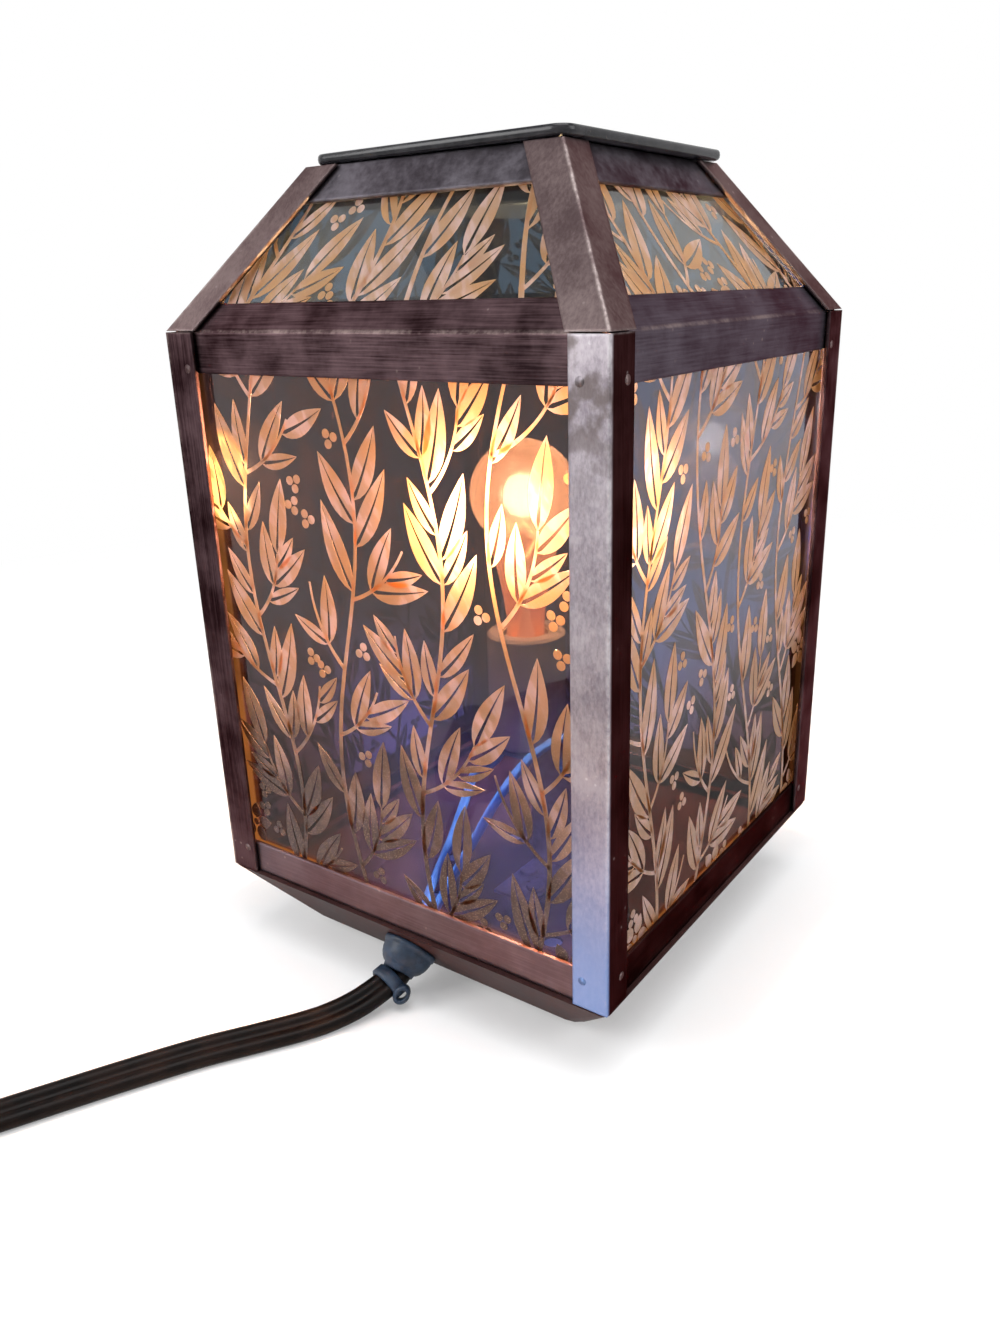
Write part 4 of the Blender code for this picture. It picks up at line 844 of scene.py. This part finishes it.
# %% Glazed dish
DISH_SEAT = 0.1952
DISH_PLACE = (0.0012, 0.0008)
DISH_TURN = math.radians(-1.2)
DISH_LEVELS = (
    (0.0195, 0.0080, -0.0110), (0.0203, 0.0084, -0.0109), (0.0208, 0.0088, -0.0105), (0.0211, 0.0090, -0.0099),
    (0.0222, 0.0090, -0.0004), (0.0226, 0.0090, 0.0000), (0.0335, 0.0030, 0.0000), (0.0340, 0.0034, 0.0002),
    (0.0343, 0.0037, 0.0006), (0.0344, 0.0038, 0.0012), (0.0343, 0.0037, 0.0018), (0.0340, 0.0034, 0.0022),
    (0.0335, 0.0030, 0.0023), (0.0324, 0.0030, 0.00225), (0.0215, 0.0092, 0.00215), (0.0208, 0.0090, 0.0020),
    (0.0204, 0.0086, 0.0015), (0.0201, 0.0082, 0.0005), (0.0193, 0.0074, -0.0070), (0.0190, 0.0072, -0.0082),
    (0.0184, 0.0068, -0.0088), (0.0176, 0.0062, -0.0090), (0.0090, 0.0040, -0.0090),
)
PINHOLE = [0.02, 0.02, 1.0]
rings = np.stack([rounded_square(*level) for level in DISH_LEVELS])
rings = np.concatenate([rings[:1] * PINHOLE, rings, rings[-1:] * PINHOLE])
rows, columns = rings.shape[:2]
points = turned(rings.reshape(-1, 3), math.cos(DISH_TURN), math.sin(DISH_TURN)) + [*DISH_PLACE, DISH_SEAT]
dish = put("glazed_dish", points, capped(rows, columns), glaze, "dish")
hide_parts("wax_dish")
print("dish", rows, "by", columns)

# %% [markdown]
# ## The bulb
# A small bulb with a screw cap, alight. What glows is the wire: a round light of 12 mm stands for it, in
# an envelope whose glass has a light frost. The print in front of it scatters that light, and a painted
# glow in the foil adds to it, and so its leaves shine while the glass between them stays dark. The wire's
# own glow could light the lamp, but such a thin light gives a grainy picture.

# %% Bulb finish
def lit_glass():
    """Lightly frosted glass that glows amber, and lets the wire's light out."""
    finish, tree, shader, output = new_material("bulb_frosted", {
        "Base Color": (*CLEAR, 1), "Transmission Weight": 1.0, "IOR": 1.45, "Roughness": 0.22,
        "Emission Strength": 1.4})
    up = ramp(tree, axes_of(tree, object_place(tree))[2], 0.086, 0.118)
    fill(shader, {"Emission Color": blend(tree, up, (0.8, 0.2, 0.04, 1), (1.0, 0.5, 0.16, 1))})
    pass_shadow_rays(tree, shader, output, CLEAR)
    return finish


CLEAR = (1.0, 0.95, 0.88)
dress(lit_glass(), "bulb_glass")
dress(plain("stem_glass", (0.7, 0.7, 0.7), (0.8, 0.8, 0.8), 0.2), "bulb_stem")
wire_light = bpy.data.lights.new("glowing_wire", "POINT")
wire_light.energy, wire_light.color, wire_light.shadow_soft_size = 7.0, (1.0, 0.78, 0.47), 0.006
in_scene("glowing_wire", wire_light).location = BULB_MIDDLE

# %% [markdown]
# ## The bulb's cap
# The brass cap has a rolled thread. It is a lathe surface whose radius goes up and down with height and
# angle together: r = r0 + a cos(2 pi z / p - angle). A Screw modifier could wind a thread as well, but
# here it fades out at both ends by itself, as a rolled one does.

# %% Threaded cap
CAP_BOTTOM, CAP_TOP, CAP_STEPS = 0.0586, 0.0804, 48
THREAD_RADIUS, THREAD_DEPTH, THREAD_PITCH = 0.00555, 0.00024, 0.002
height = np.linspace(0.0625, 0.0795, 90)[:, None]
angle = even_angles(CAP_STEPS)
wave = np.cos(2 * np.pi * height / THREAD_PITCH - angle)
fade = np.clip(np.minimum(height - 0.0632, 0.0782 - height) / 0.0008, 0, 1)
radius = THREAD_RADIUS + THREAD_DEPTH * wave * fade
thread = np.stack([radius * np.cos(angle), radius * np.sin(angle), height + 0 * radius], axis=-1)
lower = lathe([(0.0001, CAP_BOTTOM), (0.0018, CAP_BOTTOM), (0.0027, 0.0592), (0.003, 0.0604),
               (0.0050, 0.0612), (0.0055, 0.0620)], CAP_STEPS)
upper = lathe([(0.0055, 0.08), (0.0054, CAP_TOP), (0.00515, CAP_TOP), (0.0051, 0.076), (0.0051, 0.064),
               (0.0001, 0.0625)], CAP_STEPS)
cap_points = np.concatenate([lower, thread.reshape(-1, 3), upper])
cap = put("bulb_cap_threaded", cap_points, capped(len(cap_points) // CAP_STEPS, CAP_STEPS), brass, "bulb")
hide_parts("bulb_cap")
print("cap", len(cap_points), "points")

# %% [markdown]
# ## The cord
# A flat cord of two cores side by side. Its line repeats the route that the solids follow: out of the
# bushing, down to the table, through the switch and into a coil of two layers, then to the plug. The
# way is a list of points with a smooth curve through them, and the coil is a formula. A simulation
# could drop a cord on the table, but then it wouldn't lie where the solids do.

# %% The cord's line
CORD_WIDTH, CORD_THICK = 0.0073, 0.0037
GLAND_PLACE = np.array([-0.002, -0.0522, 0.0115])


def smooth_route(points, step):
    """Points about one step apart on a smooth curve through a route, with a straight stub at each end."""
    route = np.asarray(points, float)
    knots = route[1:-1]
    gaps = np.linalg.norm(np.diff(knots, axis=0), axis=1)
    at = np.concatenate([[0.0], np.cumsum(gaps)])
    slopes = np.gradient(knots, at, axis=0)
    slopes[0], slopes[-1] = unit(knots[0] - route[0]), unit(route[-1] - knots[-1])
    places = np.linspace(0.0, at[-1], max(2, round(at[-1] / step)) + 1)
    span = np.clip(np.searchsorted(at, places, side="right") - 1, 0, len(gaps) - 1)
    t = ((places - at[span]) / gaps[span])[:, None]
    length = gaps[span][:, None]
    start, end = knots[span], knots[span + 1]
    curve = start * (2 * t**3 - 3 * t**2 + 1) + end * (3 * t**2 - 2 * t**3)
    curve += length * (slopes[span] * (t**3 - 2 * t**2 + t) + slopes[span + 1] * (t**3 - t**2))
    return np.concatenate([route[:1], curve, route[-1:]])


def coil_line():
    """Two layers of turns: the radius falls by a pitch each turn, and grows again one layer up."""
    inner, pitch, turns, low, high = 0.03, 0.0078, 2.5, 0.00485, 0.01265
    at = np.linspace(0.0, 2 * turns + 0.5, 265)
    climb = np.clip((at - turns) / 0.5, 0.0, 1.0)
    out = np.where(at < turns, turns - at, np.maximum(at - turns - 0.5, 0))
    radius = inner + pitch * out - 0.0016 * np.sin(np.pi * climb)
    height = low + (high - low) * climb * climb * (3 - 2 * climb)
    angle = np.radians(270.0) + 2 * np.pi * at
    return np.stack([-0.0046 + radius * np.cos(angle), -0.222 + radius * np.sin(angle), height], axis=1)


ROUTE_TO_SWITCH = (
    (-0.0026, -0.0610, 0.0056), (-0.0042, -0.0665, 0.0042), (-0.0104, -0.0800, 0.0037),
    (-0.0178, -0.0912, 0.0037), (-0.0247, -0.1012, 0.0037), (-0.0305, -0.1110, 0.0037),
    (-0.0358, -0.1205, 0.0037), (-0.0408, -0.1297, 0.0037), (-0.0456, -0.1386, 0.0037),
)
ROUTE_TO_COIL = (
    (-0.0828, -0.2132, 0.0037), (-0.0829, -0.2306, 0.0037), (-0.0769, -0.2469, 0.0038),
    (-0.0657, -0.2602, 0.0041), (-0.0507, -0.2689, 0.0045), (-0.0353, -0.2718, 0.0048),
    (-0.0235, -0.2717, 0.0049),
)
ROUTE_TO_PLUG = (
    (-0.0220, -0.1738, 0.0137), (-0.0315, -0.1783, 0.0162), (-0.0389, -0.1855, 0.0196),
    (-0.0431, -0.1950, 0.0220),
)
ROUTE_STEP, RING_STEP, STUB = 0.003, 0.0027, 0.0037
SWITCH_HEADING, SWITCH_RUN = math.radians(241.9), 0.056
out_of_gland = np.array([0.0, -0.804, -0.594])
exit_point = GLAND_PLACE + out_of_gland * 0.0049
switch_ahead = np.array([*directions(SWITCH_HEADING), 0.0])
entry = np.array([-0.05, -0.1468, 0.0037])
leave = entry + switch_ahead * SWITCH_RUN
winding = coil_line()
into, away = unit(winding[0] - winding[1]), unit(winding[-1] - winding[-2])
into[2] = away[2] = 0.0
first, last = winding[0] + into * 0.0073, winding[-1] + away * 0.0073
rear = np.array([-0.0446, -0.208, 0.02285])
before_coil = [leave, leave + switch_ahead * STUB, *ROUTE_TO_COIL, first + into * 0.0036, first]
line = np.concatenate([
    smooth_route([exit_point, exit_point + out_of_gland * 0.0016, *ROUTE_TO_SWITCH, entry], ROUTE_STEP),
    np.linspace(entry, leave, 20)[1:],
    smooth_route(before_coil, ROUTE_STEP)[1:],
    winding,
    smooth_route([last, last + away * STUB, *ROUTE_TO_PLUG, rear + [0, STUB, 0], rear], ROUTE_STEP),
])
line = line[np.concatenate([[True], np.linalg.norm(np.diff(line, axis=0), axis=1) > 1e-5])]
runs = np.concatenate([[0.0], np.cumsum(np.linalg.norm(np.diff(line, axis=0), axis=1))])
cord_length = float(runs[-1])
even = np.linspace(0.0, cord_length, round(cord_length / RING_STEP) + 1)
line = np.stack([np.interp(even, runs, line[:, i]) for i in range(3)], axis=1)
print(f"cord {cord_length:.3f} m in {len(line)} rings")

# %% [markdown]
# The cord's section is a figure of eight: the half height at x is the core's circle,
# sqrt(r^2 - (|x| - d)^2), never less than the web between the cores. The cord lies tilted, and turns on
# edge where it is wound. Two round tubes side by side would look alike, but they wouldn't be one piece.

# %% The cord's section and surface
CORD_STEPS = 32
phi = even_angles(CORD_STEPS)
core, apart = CORD_THICK / 2, (CORD_WIDTH - CORD_THICK) / 2
x = (core + apart) * np.cos(phi)
round_part = np.sqrt(np.maximum(core**2 - (np.abs(x) - apart) ** 2, 0))
half_high = np.where(np.abs(x) < apart, np.maximum(round_part, core * 0.52), round_part)
section = np.stack([x, np.sign(np.sin(phi)) * half_high], axis=1)
run = np.linspace(0.0, cord_length, len(line))
edge_on = np.clip((run - 0.17) / 0.05, 0, 1) * np.clip((cord_length - 0.03 - run) / 0.03, 0, 1)
FREE_TILT = math.radians(24.0)
tilt = FREE_TILT + (np.pi / 2 - FREE_TILT) * edge_on * edge_on * (3 - 2 * edge_on)
tilt *= np.clip(run / 0.012, 0, 1) ** 0.5
on_table = (run > 0.012) & (run < 0.24)
rest = core + apart * np.sin(tilt) + 0.00005
lowered = np.where(on_table & (line[:, 2] < 0.0042), rest, line[:, 2])
soften = np.convolve(np.pad(lowered, 4, mode="edge"), np.ones(9) / 9, mode="valid")
line[:, 2] = np.where(run < 0.3, np.maximum(soften, rest), line[:, 2])

sheath = plain("cord_sheath", (0.0015, 0.001, 0.001), (0.006, 0.0035, 0.003), 0.36, 0.0, 160, 0.25, 0.0001,
               settings={"Specular IOR Level": 0.1})

# %% [markdown]
# The plug's two broad faces carry four low bars each, for the fingers. They lie across its back end. A
# Boolean could cut them from the plug, but thin tubes sunk halfway into it leave the solid as it is.

# %% Grip of the plug
GRIP_BARS, GRIP_STEP, GRIP_RADIUS, GRIP_HALF, GRIP_RINGS = 4, 0.002, 0.0006, 0.008, 9
plug = nodes["plug_body"]
corners = np.array([plug.matrix_world @ Vector(corner) for corner in plug.bound_box])
plug_low, plug_high = corners.min(axis=0), corners.max(axis=0)
across = (plug_low[0] + plug_high[0]) / 2 + np.linspace(-GRIP_HALF, GRIP_HALF, GRIP_RINGS)
bars = []
for face in (plug_low[2], plug_high[2]):
    for number in range(GRIP_BARS):
        y = plug_low[1] + 0.0035 + GRIP_STEP * number
        bar = np.stack([across, np.full(GRIP_RINGS, y), np.full(GRIP_RINGS, face)], axis=1)
        bars.append(transported(bar, GRIP_RADIUS))
bar_faces = repeated(capped(GRIP_RINGS, TUBE_STEPS), len(bars), GRIP_RINGS * TUBE_STEPS)
grip = put("plug_grip", np.concatenate(bars), bar_faces, plastic)
print("grip bars", len(bars))

# %% [markdown]
# The solids have the cord in four lengths, but the real one is unbroken, so a single surface replaces
# them all.

# %% The cord as one piece
cord = put("flat_cord", carried(line, section, tilt), capped(len(line), CORD_STEPS), sheath)
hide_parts("cord_to_switch", "cord_to_coil", "cord_coil", "cord_to_plug")

# %% [markdown]
# ## The bushing and its strap
# The cord leaves through a domed bushing that snaps into the sloping side. A strap round the cord,
# with a small eye, keeps a pull on the cord from reaching the holder. The strap is a band of an oval:
# centre + first * a cos t + second * b sin t, given a thickness outwards and a width along the cord. The
# dome is turned from an outline, because such a bushing is moulded round.

# %% Bushing and strap
def framed(points, origin, ahead):
    """Points whose Z is turned to point ahead, moved to an origin."""
    ahead = Vector(ahead).normalized()
    turn = np.array(ahead.to_track_quat("Z", "Y").to_matrix())
    return points @ turn.T + np.asarray(origin, float)


dome_outline = [
    (0.0001, -0.0048), (0.0056, -0.0048), (0.0064, -0.0016), (0.0064, -0.0012), (0.0056, -0.0012),
    (0.0056, 0.0002), (0.0070, 0.0003), (0.00705, 0.0008), (0.0069, 0.0015), (0.0066, 0.0017),
    (0.0066, 0.0022), (0.0064, 0.0032), (0.0060, 0.0043), (0.0054, 0.0053), (0.0047, 0.0060),
    (0.0042, 0.0063), (0.0040, 0.0072), (0.0001, 0.0073),
]
dome_points = framed(lathe(dome_outline), GLAND_PLACE, out_of_gland)
dome = put("bushing_dome", dome_points, capped(len(dome_outline), 48), nylon)
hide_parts("cord_bushing")


def band(name, centre, ahead, tilt_by, half_a, half_b, width):
    """An oval nylon band round a line that runs ahead: a closed ring with a rounded rectangular section."""
    ahead = unit(ahead)
    first, second = across_axes(ahead, tilt_by)
    t = even_angles(48)[:, None, None]
    corners = np.array([(0, -1), (0.35, -1), (1, -0.75), (1, 0.75), (0.35, 1), (0, 1)])
    out = BAND_THICK * corners[None, :, :1]
    loop = first * (half_a + out) * np.cos(t) + second * (half_b + out) * np.sin(t)
    points = centre + loop + ahead * (width / 2 * corners[None, :, 1:])
    put(name, points.reshape(-1, 3), grid_faces(48, 6, round_rows=True), nylon)


BAND_THICK = 0.0009
near = int(np.searchsorted(run, 0.0035))
ahead = line[near + 1] - line[near - 1]
band("strap_band", line[near], ahead, float(tilt[near]), 0.004, 0.0023, 0.0034)
eye_place = line[near] - np.cross(unit(ahead), [0, 0, 1.0]) * 0.0052 + [0, 0, -0.0012]
band("strap_eye", eye_place, (0.55, -0.8, 0.2), 0.6, 0.0011, 0.0016, 0.0022)

# %% [markdown]
# ## Spot welds
# Each post is welded to the rails behind it, near its two ends. A weld leaves a shallow round dimple
# with a raised lip, here a small lathe surface laid on the post's faces. Bump in the material could draw
# it, but it would be missing from the mesh.

# %% Spot welds
WELD_STEPS = 20
WELD_OUTLINE = [(0.0001, 0.00001), (0.0004, 0.00001), (0.0006, 0.00003), (0.0008, 0.00003),
                (0.0010, 0.00001), (0.0010, -0.00010), (0.0001, -0.00010)]
weld = lathe(WELD_OUTLINE, WELD_STEPS)[:, [0, 2, 1]] * [1, -1, 1]


def weld_marks(name, spots, finish):
    """The weld's lathe surface laid on the cage at each (side, along, height)."""
    places = [turned_side(weld + [along, -BODY_HALF, z], side) for side, along, z in spots]
    faces = repeated(capped(len(WELD_OUTLINE), WELD_STEPS), len(spots), len(weld))
    put(name, np.concatenate(places), faces, finish)


spots = [(side, along, z) for side in range(4) for along in (-0.0528, 0.0528) for z in (0.1525, 0.0275)]
# The welds on the front right post's -Y face take that post's finish, with its painted sheen.
sheen_face_spots = [spot for spot in spots if spot[:2] == (0, 0.0528)]
weld_marks("spot_welds_sheen_face", sheen_face_spots, worn_and_sheen)
weld_marks("spot_welds", [spot for spot in spots if spot not in sheen_face_spots], hip_metal)
print("welds", len(spots))

# %% [markdown]
# ## The leads inside
# Two wires rise from the bushing to the holder, slack so that the holder can be turned over. They are
# round tubes whose rings turn as little as they can, because a plain frame would twist at the bends.

# %% Leads
ROUTE_LEAD_LIVE = (
    (0.0005, -0.0400, 0.0225), (0.0056, -0.0330, 0.0360), (0.0108, -0.0285, 0.0478),
    (0.0148, -0.0195, 0.0560), (0.0190, -0.0110, 0.0588), (0.0205, -0.0035, 0.0545),
    (0.0165, 0.0000, 0.0470), (0.0115, 0.0005, 0.0425),
)
ROUTE_LEAD_NEUTRAL = (
    (-0.0058, -0.0385, 0.0200), (-0.0040, -0.0310, 0.0320), (-0.0048, -0.0225, 0.0410),
    (-0.0090, -0.0125, 0.0430), (-0.0110, -0.0050, 0.0405), (-0.0100, -0.0005, 0.0420),
)
LEAD_RADIUS = 0.0012
# The leads' bright sky blue is a painted sky reflection on their sheath.
lead_painted_sky_blue = plain("lead_painted_sky_blue", (0.13, 0.46, 0.8), (0.22, 0.6, 0.95), 0.35, 0.0, 150)
for name, sign, route in (("lead_live", 1, ROUTE_LEAD_LIVE), ("lead_neutral", -1, ROUTE_LEAD_NEUTRAL)):
    start = GLAND_PLACE - out_of_gland * 0.0051 + [sign * 0.0014, 0, 0]
    end = np.array([sign * 0.009, 0, 0.0495])
    path = smooth_route([start, start - out_of_gland * 0.0022, *route, end - [0, 0, 0.0022], end], 0.0012)
    wire = put(f"{name}_wire", transported(path, LEAD_RADIUS), capped(len(path), TUBE_STEPS), lead_painted_sky_blue)
    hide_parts(name)
    print(name, len(path), "rings")
